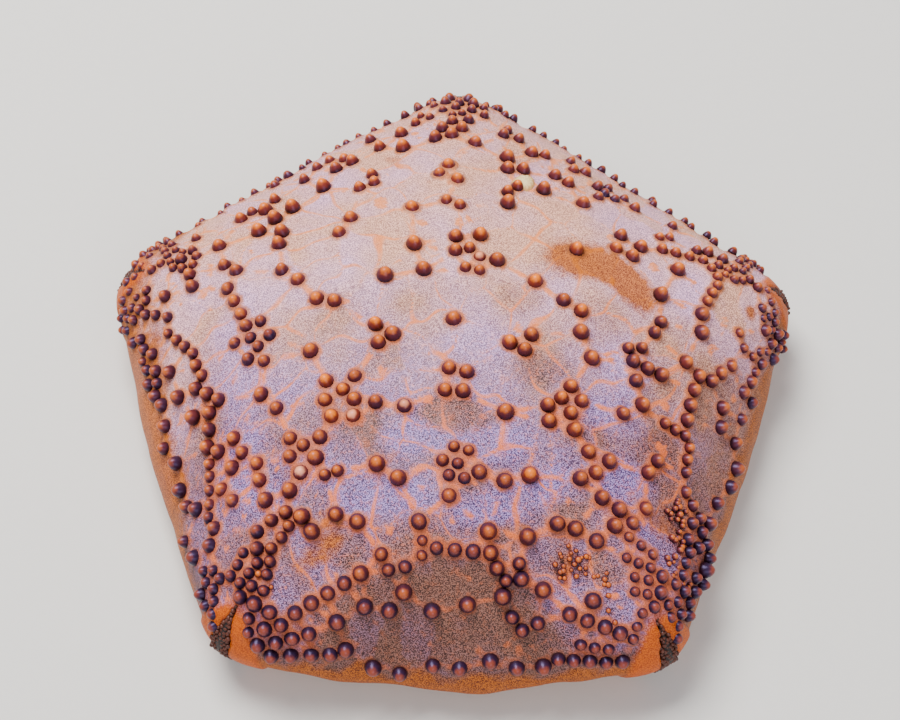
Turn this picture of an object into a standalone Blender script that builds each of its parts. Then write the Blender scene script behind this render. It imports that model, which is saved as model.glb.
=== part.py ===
"""A cushion star (Culcita) as a still, life-size model: a rounded pentagon set with blunt tubercles.

Lengths are in millimetres until a mesh is made, which is in metres. +Z is up, and the arms are named
as seen from above with the flat side towards the reader (-Y).
"""

import math

import bmesh
import bpy
import numpy as np
from mathutils import Matrix, Vector

# ---------------------------------------------------------------- driving dimensions

MM = 0.001
TIP_REACH = 105.0  # centre to an arm's tip
SIDE_REACH = 88.5  # centre to the middle of a side, before its own bulge
HEIGHT = 50.0  # floor to the skin at the centre of the back
CORNER_SHARPNESS = 20
ARM_DEGREES = {"back": 90, "left": 162, "front_left": 234, "front_right": 306, "right": 18}
HALF_TURN_BETWEEN = 36  # degrees from an arm to the middle of a side
SIDE_BULGE = {54: 4.0, 126: 4.5, 198: 1.0, 270: 5.0, 342: 1.0}  # how far each side's middle swells out
BODY_CENTRE = (0.0, -5.4, 0.0)  # the mouth's place, from the middle of the whole outline

# Profiles from the centre of the back to the foot: (share of the reach, share of the height)
SIDE_PROFILE = (
    (0, 1), (0.3, 0.985), (0.55, 0.90), (0.75, 0.735), (0.9, 0.52),
    (0.985, 0.33), (1.0, 0.22), (0.975, 0.10), (0.91, 0.015), (0.86, 0),
)
ARM_PROFILE = (
    (0, 1), (0.3, 0.98), (0.55, 0.885), (0.75, 0.74), (0.9, 0.60),
    (0.975, 0.45), (1.0, 0.32), (0.97, 0.155), (0.905, 0.03), (0.865, 0),
)
ARM_BLEND = 1.5  # how fast an arm's profile gives way to a side's
SOLE_INNER_SHARE = 0.70  # the flat sole runs from here to the foot
MOUTH_RISE = 3.0  # the underside's arch over the floor, at the mouth

AZIMUTHS = 60
UPPER_RINGS = (  # place on the profile, one azimuth in how many
    (0.14, 4), (0.26, 2), (0.37, 2), (0.46, 1), (0.54, 1), (0.61, 1), (0.68, 1), (0.76, 1), (0.84, 1),
    (0.92, 1), (1.0, 1),
)
UNDER_RINGS = (SOLE_INNER_SHARE, 0.45, 0.2)

DISC_APOTHEM = 62.0  # centre to the cut between the disc and an arm
CUT_GAP = 0.3
CUT_OUTER = 140.0  # cutting blocks reach past the body
CUT_LOW, CUT_HIGH = -10.0, 80.0

FURROW_HALF_WIDTH = 4.6
FURROW_DEPTH = 4.5
FURROW_TOP = 0.47  # how far up the tip's end face the furrow climbs, as a place on the arm's profile
GROOVE_OVERCUT = 3.0  # how far the grooves' cutter stands off the skin
GROOVE_TRIM = -2.0  # it runs past both ends
STRIP_GAP = 0.4
STRIP_RECESS = 0.5  # how deep each furrow's row of spines lies under the sole
STRIP_SWELL = 1.8  # how far it stands proud of the arm's end face

MOUTH_RADIUS = 11.0
MOUTH_ROOF = 9.0
MOUTH_SIDES = 20
MADREPORITE_AT = (20.0, 57.0)
MADREPORITE_RADIUS = 4.3
MADREPORITE_DEPTH = 2.0
MADREPORITE_RINGS = ((1.0, 0.2), (0.7, 1.1))  # share of the radius, height off the skin
MADREPORITE_TOP = 1.4
MADREPORITE_SIDES = 14
SOCKET_TOP = 4.0
SHARP_DEGREES = 35

DROP_ROOT = 1.2  # how deep a tubercle is set in the skin
LARGE_DROP, SMALL_DROP = 4.9, 3.6  # widths at the foot
FAR_SHRINK = 0.18  # how much smaller the tubercles are round the rim of the back and sides
FAR_FROM_FRONT, FAR_FROM_AXIS = (-25, 10), (76, 90)  # from where to where they shrink
ROW_FILL, ROW_DROP = 0.9, 4.6  # a row's width over its spacing, and the most it can be
CLUSTER_FILL, CLUSTER_SPREAD, CLUSTER_TURN = 0.86, 0.62, 2.4  # of a spiral's width, radius and turn
LEAST_SOLID_WIDTH = 4.3  # narrower tubercles are too fine for the solids, but for those at the tips
TIP_RADIUS = 98.0  # past this distance from the axis a tubercle is at a tip
DROP_HEIGHT_SHARE = 0.82  # height over width
DROP_ROOT_SHARE, DROP_TOP_SHARE = 0.58, 0.2  # half widths of its root and its flat top, over its width
DROP_SIDES = 5
DROP_SPACING = 1.0  # least distance between neighbours over their mean width
SOLID_SPACING = 1.06  # the same, between two that stand in the solids
LEAST_SOLID_SPACING = 1.02  # one of two that are left closer than this goes
EASING_STEPS = 14
EASING_SHARE = 0.4  # of an overlap, what one step removes at each end
SETTLING_ROUNDS = 3

# ---------------------------------------------------------------- tubercles, by group
# Places are millimetres over the skin from the centre of the back, +x right and +y to the back arm.

SINGLES = (
    (0, 2), (-12, 28), (-9, 19), (-20, 17), (12, 23), (23, 16), (-13, 42), (15, 46), (38, 50), (-41, 57),
    (-17, 73), (15, 68), (26, 54), (-52, 31), (-40, -8), (39, -8), (36, 0), (35, 29), (60, 17), (66, 28),
    (73, 8), (73, 14), (7, 32), (15, -27), (-20, -43), (-14, -47), (8, -45), (22, -45), (0, -52), (22, -62),
    (-38, -61), (41, -62), (-62, -41), (-12, -78), (16, -78), (6, -81), (-4, -83), (27, -76), (-31, -86),
    (5, 73), (-8, -59), (11, -61), (24, 74), (-28, 83), (-71, 34), (-83, 31), (-23, -82), (-16, -83),
    (42, -50), (-3, 60), (-17, -3), (16, -5), (-33, -29), (-37, -41), (-41, -45), (-51, -52), (-68, -35),
    (34, -31), (36, -45), (44, -39), (15, -47), (-44, -50), (-40, -58), (46, -57), (47, -53), (-86, -5),
    (-83, -14), (-77, -22), (-75, -51), (-87, 19), (77, 40), (82, 38), (93, 0), (90, -5), (96, 17),
    (77, -65), (41, -78), (-53, -81), (-18, 82), (-5, 97), (5, 97), (-3, 101), (3, 101),
)
ROWS = (  # from, to, count
    (-3, 45, 1, 43, 2), (-31, 39, -34, 33, 2), (-5, 57, 0, 54, 2), (-39, 9, -34, 8, 2),
    (-50, 20, -45, 16, 2), (-68, 25, -64, 22, 2), (-66, 16, -59, 2, 4), (-79, 25, -78, 20, 2),
    (-86, 7, -77, -2, 4), (-76, -6, -74, -10, 2), (-76, -13, -68, -19, 3), (-71, -22, -71, -33, 3),
    (-70, -38, -69, -55, 5), (-67, -58, -68, -63, 2), (-62, -32, -59, -37, 2), (-54, -41, -53, -46, 2),
    (-65, -47, -61, -51, 2), (0, 31, 0, 26, 2), (4, 27, 7, 24, 2), (3, 20, 7, 19, 2), (-22, 0, -21, -6, 2),
    (22, -2, 20, -7, 2), (-35, -18, -35, -24, 2), (-27, -17, -30, -21, 2), (-27, -24, -27, -29, 2),
    (-21, -25, -13, -26, 2), (-44, -35, -44, -40, 2), (-41, -37, -36, -35, 2), (33, -18, 30, -22, 2),
    (36, -22, 33, -26, 2), (27, -24, 27, -29, 2), (38, -37, 40, -43, 2), (50, -3, 54, -2, 2),
    (52, -7, 52, -13, 2), (55, -8, 60, -9, 2), (51, -56, 55, -51, 2), (17, -74, 20, -71, 2),
    (-54, -20, -49, -25, 2), (-34, -46, -31, -45, 2), (-31, -57, -25, -59, 2), (-1, -14, 4, -15, 2),
    (-2, -21, 3, -21, 2), (31, 10, 36, 7, 2), (60, 8, 58, 4, 2), (47, 32, 52, 30, 2), (49, 38, 55, 35, 2),
    (62, 36, 75, 35, 4), (62, 42, 65, 43, 2), (75, 19, 79, 27, 3), (68, -3, 73, -6, 2), (77, -6, 84, 1, 3),
    (71, -11, 69, -21, 3), (62, -24, 68, -26, 3), (70, -29, 69, -37, 3), (69, -43, 74, -50, 3),
    (48, -24, 54, -20, 2), (59, -36, 56, -40, 2), (30, -58, 35, -59, 2), (-7, -64, -7, -68, 2),
    (-3, -66, 12, -67, 4), (14, -71, 20, -72, 2), (-34, 71, -38, 67, 2), (-45, 72, -41, 75, 2),
    (-60, 69, -56, 75, 2), (30, 63, 34, 60, 2), (15, 51, 18, 54, 2), (15, 62, 20, 63, 2),
    (14, 81, 19, 81, 2), (36, 76, 40, 71, 2), (82, -13, 82, -19, 2), (86, 12, 88, 8, 2),
    (-93, 41, -101, 26, 5), (-97, 41, -104, 24, 4), (-86, 12, -103, 20, 5), (-97, 9, -94, -6, 4),
    (-93, 3, -92, -10, 3), (96, 30, 101, 20, 4), (92, 7, 98, 11, 3), (96, 7, 99, 14, 2),
    (-7, 76, -2, 77, 2), (-5, 81, 1, 81, 2), (-2, 85, 3, 86, 2), (-2, 89, 1, 90, 2), (-5, 92, -1, 94, 2),
    (-9, 89, -12, 91, 2), (4, 93, 8, 91, 2), (-2, -42, 0, -46, 2), (1, -38, 5, -39, 2), (2, -43, 4, -47, 2),
    (-45, -56, -49, -58, 2), (-44, -60, -46, -63, 2), (-53, -61, -53, -66, 2), (-49, -66, -50, -73, 3),
    (-57, -67, -60, -73, 3), (-53, -70, -57, -75, 3), (-52, -78, -55, -76, 2), (-50, -83, -51, -88, 2),
    (-55, -84, -56, -88, 2), (-66, -77, -67, -85, 4), (-70, -72, -70, -78, 3), (-64, -73, -66, -71, 2),
    (-24, -73, -47, -86, 6), (-39, -89, -54, -92, 4), (-33, -95, -51, -95, 4), (50, -60, 57, -64, 3),
    (50, -66, 56, -68, 3), (52, -71, 56, -71, 2), (53, -75, 56, -76, 2), (60, -70, 60, -75, 2),
    (62, -77, 64, -80, 2), (55, -81, 53, -86, 3), (66, -77, 67, -85, 4), (70, -75, 71, -79, 2),
    (66, -72, 70, -60, 4), (74, -68, 73, -72, 2), (35, -82, 50, -86, 4), (39, -90, 47, -91, 3),
    (33, -95, 52, -94, 5),
)
CLUSTERS = (  # middle, count, spacing
    (-57, -4, 7, 4.7), (-26, 56, 3, 4.8), (-57, 45, 6, 7.0), (47, 60, 5, 4.4), (23, -86, 3, 4.8),
    (74, -57, 5, 4.6), (-15, -71, 3, 4.8),
)
AMBITAL_BAND = {  # a side's degrees: tubercles along its foot, degrees between, width, place down the profile
    54: (23, 2.8, 3.7, 0.755), 126: (23, 2.8, 3.7, 0.755), 198: (13, 4.8, 4.5, 0.755),
    270: (8, 5.0, 4.9, 0.778), 342: (13, 4.8, 4.5, 0.755),
}
SHOULDER_SIDES = (54, 126)  # the sides with a loose row above that band
SHOULDER_PER_SIDE = 7
SHOULDER_TURN = math.radians(8.5)
SHOULDER_SHARE = 0.64
SHOULDER_DROP = 4.2
TERMINAL_SHARE = 0.697  # the single tubercle over the furrow's end
TERMINAL_DROP = 4.2
RIDGE_ROWS = 5  # rows of small tubercles along an arm's ridge, up to the terminal one
RIDGE_FIRST_SHARE = 0.61
COLLAR_ROWS = 4  # pairs beside the smooth lips of the furrow's end
COLLAR_LAST_SHARE = 0.785
RIDGE_COLUMNS = {"left": (-5.6, -1.9), "right": (1.9, 5.6)}  # millimetres aside, + is anticlockwise
COLLAR_COLUMNS = {"back": (-2.1, 2.1), "left": (-5.6, -2.1, 2.1, 5.6), "right": (-5.6, -2.1, 2.1, 5.6)}
COLLAR_FIRST, COLLAR_STEP, COLLAR_MOST = 0.36, 0.27, 0.9  # how far out the pairs stand, over the lips' edge
TIP_DROP = 3.9
STAGGER = 0.8  # how much further aside every second pair stands
LIP_WIDTH = 7.4  # smooth skin on each side of the furrow's end
SEED = 11

CUT_CLEARANCE_SHARE = 0.55
HALF_SECTOR = math.pi / len(ARM_DEGREES)
FURROW_UNDER_SHARES = (0.115, 0.4, 0.7)
FURROW_CLIMB_STATIONS = 6
FURROW_END_SHARE = 0.45
MOUTH_RINGS = ((10.0, 10.5, 8.6), (10.0, 10.5, 4.6), (5.5, 9.0, 3.4), (2.4, 3.4, 3.0))  # arms, between, height
MOUTH_OPENING_TOP = 6.0

SKIN_COLOUR = (0.48, 0.33, 0.31)
STRIP_COLOUR = (0.16, 0.07, 0.05)
JAW_COLOUR = (0.62, 0.36, 0.24)
SIEVE_COLOUR = (0.80, 0.66, 0.42)

# ---------------------------------------------------------------- the body's form


def smooth(values, place):
    """A smooth curve with no overshoot through evenly spaced values, read at places from 0 to 1."""
    values = np.asarray(values, float)
    steps = np.diff(values)
    before, after = steps[:-1], steps[1:]
    same_way = before * after > 0
    mean = np.where(same_way, 2 * before * after / np.where(same_way, before + after, 1), 0)
    slopes = np.concatenate([steps[:1], mean, steps[-1:]])
    along = np.clip(place, 0, 1) * len(steps)
    first = np.minimum(along.astype(int), len(steps) - 1)
    f = along - first
    rise = values[first + 1] - values[first]
    start, end = slopes[first], slopes[first + 1]
    return values[first] + f * start + f**2 * (3 * rise - 2 * start - end) + f**3 * (start + end - 2 * rise)


def turned(angle):
    """The angle brought within half a turn of zero."""
    return (angle + np.pi) % (2 * np.pi) - np.pi


def pentagon(azimuth):
    """1 at the middle of a side, more towards a corner."""
    total = 0
    for degrees in ARM_DEGREES.values():
        towards_side = np.cos(azimuth - math.radians(degrees + HALF_TURN_BETWEEN))
        total = total + np.maximum(0, towards_side) ** CORNER_SHARPNESS
    return total ** (-1 / CORNER_SHARPNESS)


def reach(azimuth):
    """Distance from the centre to the widest ring."""
    corner = math.radians(ARM_DEGREES["back"])
    share = (pentagon(azimuth) - 1) / (pentagon(corner) - 1)
    swell = 0
    for degrees, bulge in SIDE_BULGE.items():
        off = np.clip(turned(azimuth - math.radians(degrees)), -math.pi / 5, math.pi / 5)
        swell = swell + bulge * np.cos(2.5 * off)
    return SIDE_REACH + (TIP_REACH - SIDE_REACH) * share + swell


def skin(azimuth, place):
    """Points of the back and walls: place runs from 0 at the centre to 1 at the foot."""
    azimuth, place = np.broadcast_arrays(np.asarray(azimuth, float), np.asarray(place, float))
    arm = (0.5 + 0.5 * np.cos(5 * (azimuth - math.radians(ARM_DEGREES["back"])))) ** ARM_BLEND
    sides, arms = np.transpose(SIDE_PROFILE), np.transpose(ARM_PROFILE)
    out, up = (smooth(sides[k], place) * (1 - arm) + smooth(arms[k], place) * arm for k in (0, 1))
    radius = out * reach(azimuth)
    return np.stack([radius * np.cos(azimuth), radius * np.sin(azimuth), up * HEIGHT], axis=-1)


def underside_height(share):
    """The sole is flat out to the foot and arches a little over the mouth."""
    return MOUTH_RISE * (1 - np.minimum(share / SOLE_INNER_SHARE, 1) ** 2) ** 2


def placed_on_skin(plan):
    """(points, outward normals) at places given as millimetres over the skin from the centre."""
    azimuth = np.arctan2(plan[:, 1], plan[:, 0])
    steps = np.linspace(0, 1, 121)
    lines = skin(azimuth[:, None], steps[None, :])
    lengths = np.cumsum(np.linalg.norm(np.diff(lines, axis=1), axis=2), axis=1)
    lengths = np.insert(lengths, 0, 0, axis=1)
    over = np.hypot(plan[:, 0], plan[:, 1])
    place = np.array([np.interp(s, line, steps) for s, line in zip(over, lengths)])
    nudge = 0.004
    points = skin(azimuth, place)
    outward = skin(azimuth, place + nudge) - skin(azimuth, np.maximum(place - nudge, 0.001))
    around = skin(azimuth + nudge, np.maximum(place, 0.01)) - skin(azimuth - nudge, np.maximum(place, 0.01))
    normals = np.cross(outward, around)
    return points, normals / np.linalg.norm(normals, axis=1, keepdims=True)


def step_up(value, start, end):
    """0 before start, 1 after end, smooth between."""
    share = np.clip((value - start) / (end - start), 0, 1)
    return share * share * (3 - 2 * share)


def outward_from_axis(points):
    return np.hypot(points[..., 0], points[..., 1])


def profile_length(azimuth):
    line = skin(azimuth, np.linspace(0, 1, 121))
    return float(np.linalg.norm(np.diff(line, axis=0), axis=1).sum())


# ---------------------------------------------------------------- where the tubercles stand


def from_polar(azimuth, over):
    return over * math.cos(azimuth), over * math.sin(azimuth)


def tip_tubercles(name, chance):
    """(x, y, width) of the terminal tubercle, the rows along the ridge to it and the collar round the lips."""
    arm = math.radians(ARM_DEGREES[name])
    whole = profile_length(arm)
    found = [(*from_polar(arm, TERMINAL_SHARE * whole), TERMINAL_DROP)]
    ridge = np.linspace(RIDGE_FIRST_SHARE, TERMINAL_SHARE - 0.02, RIDGE_ROWS)
    rows = [(share, 0, RIDGE_COLUMNS.get(name, ())) for share in ridge]
    for k, share in enumerate(np.linspace(TERMINAL_SHARE, COLLAR_LAST_SHARE, COLLAR_ROWS)):
        lips = (FURROW_HALF_WIDTH + LIP_WIDTH) * min(COLLAR_MOST, COLLAR_FIRST + COLLAR_STEP * k)
        rows.append((share, lips, COLLAR_COLUMNS.get(name, ())))
    for row, (share, beside, columns) in enumerate(rows):
        for column in columns:
            across = math.copysign(beside + abs(column) + STAGGER * (row % 2), column)
            azimuth = arm + math.atan2(across + chance.uniform(-0.6, 0.6), share * whole)
            found.append((*from_polar(azimuth, share * whole), TIP_DROP * chance.uniform(0.85, 1.1)))
    return found


def tubercle_plan():
    """(places over the skin, widths) of every tubercle."""
    chance = np.random.default_rng(SEED)
    found = [(x, y, LARGE_DROP) for x, y in SINGLES]
    for x0, y0, x1, y1, count in ROWS:
        spacing = math.hypot(x1 - x0, y1 - y0) / (count - 1)
        width = min(max(ROW_FILL * spacing, SMALL_DROP), ROW_DROP)
        for k in range(count):
            share = k / (count - 1)
            found.append((x0 + (x1 - x0) * share, y0 + (y1 - y0) * share, width))
    for x, y, count, spacing in CLUSTERS:
        for k in range(count):
            radius = CLUSTER_SPREAD * spacing * math.sqrt(k + 0.3)
            turn = CLUSTER_TURN * k + x
            width = min(CLUSTER_FILL * spacing, LARGE_DROP)
            found.append((x + radius * math.cos(turn), y + radius * math.sin(turn), width))
    for arm, degrees in ARM_DEGREES.items():
        middle = (degrees + HALF_TURN_BETWEEN) % 360
        side = math.radians(middle)
        count, turn, width, place = AMBITAL_BAND[middle]
        for k in range(count):
            azimuth = side + (k - (count - 1) / 2) * math.radians(turn) + chance.uniform(-0.012, 0.012)
            share = place + chance.uniform(-0.02, 0.03)
            own_width = width * chance.uniform(0.88, 1.08)
            found.append((*from_polar(azimuth, share * profile_length(azimuth)), own_width))
        for k in range(SHOULDER_PER_SIDE if middle in SHOULDER_SIDES else 0):
            azimuth = side + (k - (SHOULDER_PER_SIDE - 1) / 2) * SHOULDER_TURN + chance.uniform(-0.03, 0.03)
            share = SHOULDER_SHARE + chance.uniform(-0.03, 0.03)
            found.append((*from_polar(azimuth, share * profile_length(azimuth)), SHOULDER_DROP))
        found += tip_tubercles(arm, chance)
    found = np.array(found)
    plan, widths = found[:, :2], found[:, 2]
    far = step_up(plan[:, 1], *FAR_FROM_FRONT) * step_up(outward_from_axis(plan), *FAR_FROM_AXIS)
    return plan, widths * (1 - FAR_SHRINK * far)


def eased_apart(plan, widths, spacing):
    """The places moved apart until neighbours keep the spacing, over their mean width."""
    wanted = spacing * (widths[:, None] + widths[None, :]) / 2
    for _ in range(EASING_STEPS):
        apart = plan[:, None] - plan[None, :]
        distance = np.linalg.norm(apart, axis=2) + np.eye(len(plan)) * TIP_REACH
        push = np.maximum(wanted - distance, 0) / distance
        plan = plan + EASING_SHARE * (apart * push[..., None]).sum(axis=1)
    return plan


def nearest_arm(points):
    """(index of the arm whose sector each point is in, the point's turn from that arm's middle line)."""
    azimuth = np.arctan2(points[:, 1], points[:, 0])
    turns = turned(azimuth[:, None] - np.radians(list(ARM_DEGREES.values()))[None, :])
    index = np.abs(turns).argmin(axis=1)
    return index, turns[np.arange(len(points)), index]


def moved_off_cuts(plan, widths):
    """The places moved so that no tubercle stands over a cut between the disc and the arms."""
    points, _ = placed_on_skin(plan)
    _, turn = nearest_arm(points)
    radius = np.hypot(points[:, 0], points[:, 1])
    over, azimuth = np.hypot(plan[:, 0], plan[:, 1]), np.arctan2(plan[:, 1], plan[:, 0])
    need = widths * CUT_CLEARANCE_SHARE + CUT_GAP
    off = radius * np.cos(turn) - DISC_APOTHEM
    outward = np.where(off > 0, need, -need) - off
    over = over + np.where(np.abs(off) < need, outward / np.cos(turn), 0)
    short = np.arcsin(need / np.maximum(radius, 2 * need)) - (HALF_SECTOR - np.abs(turn))
    azimuth = azimuth - np.where((off > 0) & (short > 0), np.sign(turn) * short, 0)
    return np.stack([over * np.cos(azimuth), over * np.sin(azimuth)], axis=-1)


def tubercles():
    """(plan, widths) of the tubercles that stand in the solids, clear of each other and of the cuts."""
    plan, widths = tubercle_plan()
    plan = eased_apart(plan, widths, DROP_SPACING)
    at_tip = outward_from_axis(placed_on_skin(plan)[0]) > TIP_RADIUS
    solid = (widths >= LEAST_SOLID_WIDTH) | at_tip
    plan, widths = plan[solid], widths[solid]
    for _ in range(SETTLING_ROUNDS):
        plan = moved_off_cuts(eased_apart(plan, widths, SOLID_SPACING), widths)
    kept = []
    for k, (place, width) in enumerate(zip(plan, widths)):
        if all(np.hypot(*(place - plan[j])) > LEAST_SOLID_SPACING * (width + widths[j]) / 2 for j in kept):
            kept.append(k)
    return plan[kept], widths[kept]


# ---------------------------------------------------------------- meshes


def mesh_from(name, points, faces, triangles=True):
    """A mesh from points in millimetres, its faces turned to point outwards."""
    shape = bmesh.new()
    corners = [shape.verts.new([c * MM for c in point]) for point in points]
    for face in faces:
        shape.faces.new([corners[k] for k in face])
    bmesh.ops.recalc_face_normals(shape, faces=shape.faces)
    if triangles:
        bmesh.ops.triangulate(shape, faces=shape.faces)
    mesh = bpy.data.meshes.new(name)
    shape.to_mesh(mesh)
    shape.free()
    return mesh


def ringed(rings, first=None, last=None):
    """(points, faces) of rings joined in turn, each end closed by a point or by one flat face.

    A ring has as many points as the one before it, or twice as many.
    """
    points, faces, starts = [], [], []
    for ring in rings:
        starts.append(len(points))
        points += [tuple(p) for p in ring]
    for near, far, start, end in zip(rings, rings[1:], starts, starts[1:]):
        step = len(far) // len(near)
        for k in range(len(near)):
            here, there = start + k, start + (k + 1) % len(near)
            over = [end + (step * k + j) % len(far) for j in range(step + 1)]
            faces.append((here, there, *reversed(over[step - 1:])))
            if step == 2:
                faces.append((here, over[1], over[0]))
    for tip, ring, start in ((first, rings[0], starts[0]), (last, rings[-1], starts[-1])):
        around = [start + k for k in range(len(ring))]
        if tip is None:
            faces.append(tuple(around))
            continue
        points.append(tuple(tip))
        faces += [(a, b, len(points) - 1) for a, b in zip(around, around[1:] + around[:1])]
    return points, faces


def prism(outline, low, high):
    """(points, faces) of an outline raised from one height to another."""
    return ringed([[(x, y, z) for x, y in outline] for z in (low, high)])


def body_mesh():
    azimuths = math.radians(ARM_DEGREES["right"]) + 2 * np.pi * np.arange(AZIMUTHS) / AZIMUTHS
    rings = [skin(azimuths[::skip], place) for place, skip in UPPER_RINGS]
    foot = rings[-1]
    foot_share = np.hypot(foot[:, 0], foot[:, 1]) / reach(azimuths)
    for share in UNDER_RINGS:
        ring = foot * (share / foot_share)[:, None]
        ring[:, 2] = underside_height(share)
        rings.append(ring)
    return mesh_from("body", *ringed(rings, first=(0, 0, HEIGHT), last=(0, 0, MOUTH_RISE)))


def tubercle_mesh(name, points, normals, widths):
    """Blunt drops standing on the skin, each rooted a little way in it."""
    all_points, all_faces = [], []
    for point, normal, width in zip(points, normals, widths):
        side = np.cross(normal, (0.3, 0.2, 0.9))
        side /= np.linalg.norm(side)
        other = np.cross(normal, side)
        height = DROP_HEIGHT_SHARE * width
        sides = DROP_SIDES if width > LARGE_DROP - 0.5 else DROP_SIDES - 1
        turns = 2 * np.pi * np.arange(sides) / sides
        around = np.cos(turns)[:, None] * side + np.sin(turns)[:, None] * other
        ends = ((DROP_ROOT_SHARE, -DROP_ROOT), (DROP_TOP_SHARE, height))
        rings = [point + normal * at + around * share * width for share, at in ends]
        drop_points, drop_faces = ringed(rings)
        start = len(all_points)
        all_points += drop_points
        all_faces += [tuple(start + k for k in face) for face in drop_faces]
    return mesh_from(name, all_points, all_faces, triangles=False)


def furrow_line():
    """(radius, height) stations from the mouth out along the sole and up the tip's end face."""
    arm = math.radians(ARM_DEGREES["back"])
    foot = float(np.hypot(*skin(arm, 1.0)[:2])) / TIP_REACH
    under = [(share * TIP_REACH, float(underside_height(share))) for share in FURROW_UNDER_SHARES]
    under.append((foot * TIP_REACH, 0.0))
    climb = [skin(arm, place) for place in np.linspace(1, FURROW_TOP, FURROW_CLIMB_STATIONS + 1)[1:]]
    return np.array(under + [(float(np.hypot(p[0], p[1])), float(p[2])) for p in climb])


def furrow_mesh(name, half_width, outer, swell, inner, trim):
    """A bar along the furrow's line: outer and inner are its faces' heights off the skin.

    On the climb the outer face swells. The bar's ends are drawn in by trim.
    """
    line = furrow_line()
    along = np.gradient(line, axis=0)
    along /= np.linalg.norm(along, axis=1, keepdims=True)
    out = np.stack([along[:, 1], -along[:, 0]], axis=1)
    line[0] += along[0] * trim
    line[-1] -= along[-1] * trim
    climbed = np.linspace(0, 1, FURROW_CLIMB_STATIONS + 1)
    bulge = np.concatenate([np.zeros(len(FURROW_UNDER_SHARES)), np.sin(np.pi * climbed)])
    rings = []
    for station, (place, normal) in enumerate(zip(line, out)):
        narrowing = FURROW_END_SHARE if station == len(line) - 1 else 1
        across = half_width * narrowing
        low, high = place + normal * (outer + swell * bulge[station]), place + normal * inner
        rings.append([(low[0], -across, low[1]), (low[0], across, low[1]),
                      (high[0], across, high[1]), (high[0], -across, high[1])])
    return mesh_from(name, *ringed(rings))


def circle(radius, sides):
    turns = [2 * math.pi * k / sides for k in range(sides)]
    return [(radius * math.cos(t), radius * math.sin(t)) for t in turns]


def mouth_mesh():
    """Ten jaw plates round a small opening, on a plug that fills the mouth's recess."""
    sides = 2 * len(ARM_DEGREES)
    start = math.radians(ARM_DEGREES["back"])
    rings = []
    for radial, between, height in MOUTH_RINGS:
        ring = []
        for k in range(sides):
            radius = radial if k % 2 == 0 else between
            turn = start + 2 * math.pi * k / sides
            ring.append((radius * math.cos(turn), radius * math.sin(turn), height))
        rings.append(ring)
    return mesh_from("mouth", *ringed(rings, last=(0, 0, MOUTH_OPENING_TOP)))


# ---------------------------------------------------------------- objects


def material(name, colour, roughness):
    """A matt or wet-looking natural surface."""
    made = bpy.data.materials.new(name)
    made.use_nodes = True
    shader = made.node_tree.nodes["Principled BSDF"]
    shader.inputs["Base Color"].default_value = (*colour, 1)
    shader.inputs["Roughness"].default_value = roughness
    shader.inputs["Metallic"].default_value = 0.0
    made.diffuse_color = (*colour, 1)
    return made


def add_object(name, mesh, parent, turn=0.0, cutter=False):
    made = bpy.data.objects.new(name, mesh)
    bpy.context.scene.collection.objects.link(made)
    made.parent = parent
    made.rotation_euler.z = turn
    if cutter:
        made.hide_render = True
        made.display_type = "WIRE"
    return made


def boolean(target, operation, tool):
    modifier = target.modifiers.new(f"{operation.lower()} {tool.name}", "BOOLEAN")
    modifier.operation = operation
    modifier.solver = "EXACT"
    modifier.object = tool


def cutting_blocks(parent):
    """The pentagonal block that holds the disc, and one outer block for each arm."""
    tangent = math.tan(HALF_SECTOR)
    inner = DISC_APOTHEM + CUT_GAP / 2
    slack = CUT_GAP / 2 / math.cos(HALF_SECTOR)
    arm_outline = [(inner, inner * tangent - slack), (inner, slack - inner * tangent),
                   (CUT_OUTER, slack - CUT_OUTER * tangent), (CUT_OUTER, CUT_OUTER * tangent - slack)]
    arm_block = mesh_from("arm_block", *prism(arm_outline, CUT_LOW, CUT_HIGH))
    corner = (DISC_APOTHEM - CUT_GAP / 2) / math.cos(HALF_SECTOR)
    disc_outline = circle(corner, len(ARM_DEGREES))
    disc_block = mesh_from("disc_block", *prism(disc_outline, CUT_LOW, CUT_HIGH))
    corner_turn = math.radians(ARM_DEGREES["back"] + HALF_TURN_BETWEEN)
    blocks = {"disc": add_object("cut_disc", disc_block, parent, corner_turn, True)}
    for name, degrees in ARM_DEGREES.items():
        blocks[name] = add_object(f"cut_arm_{name}", arm_block, parent, math.radians(degrees), True)
    return blocks


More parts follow.
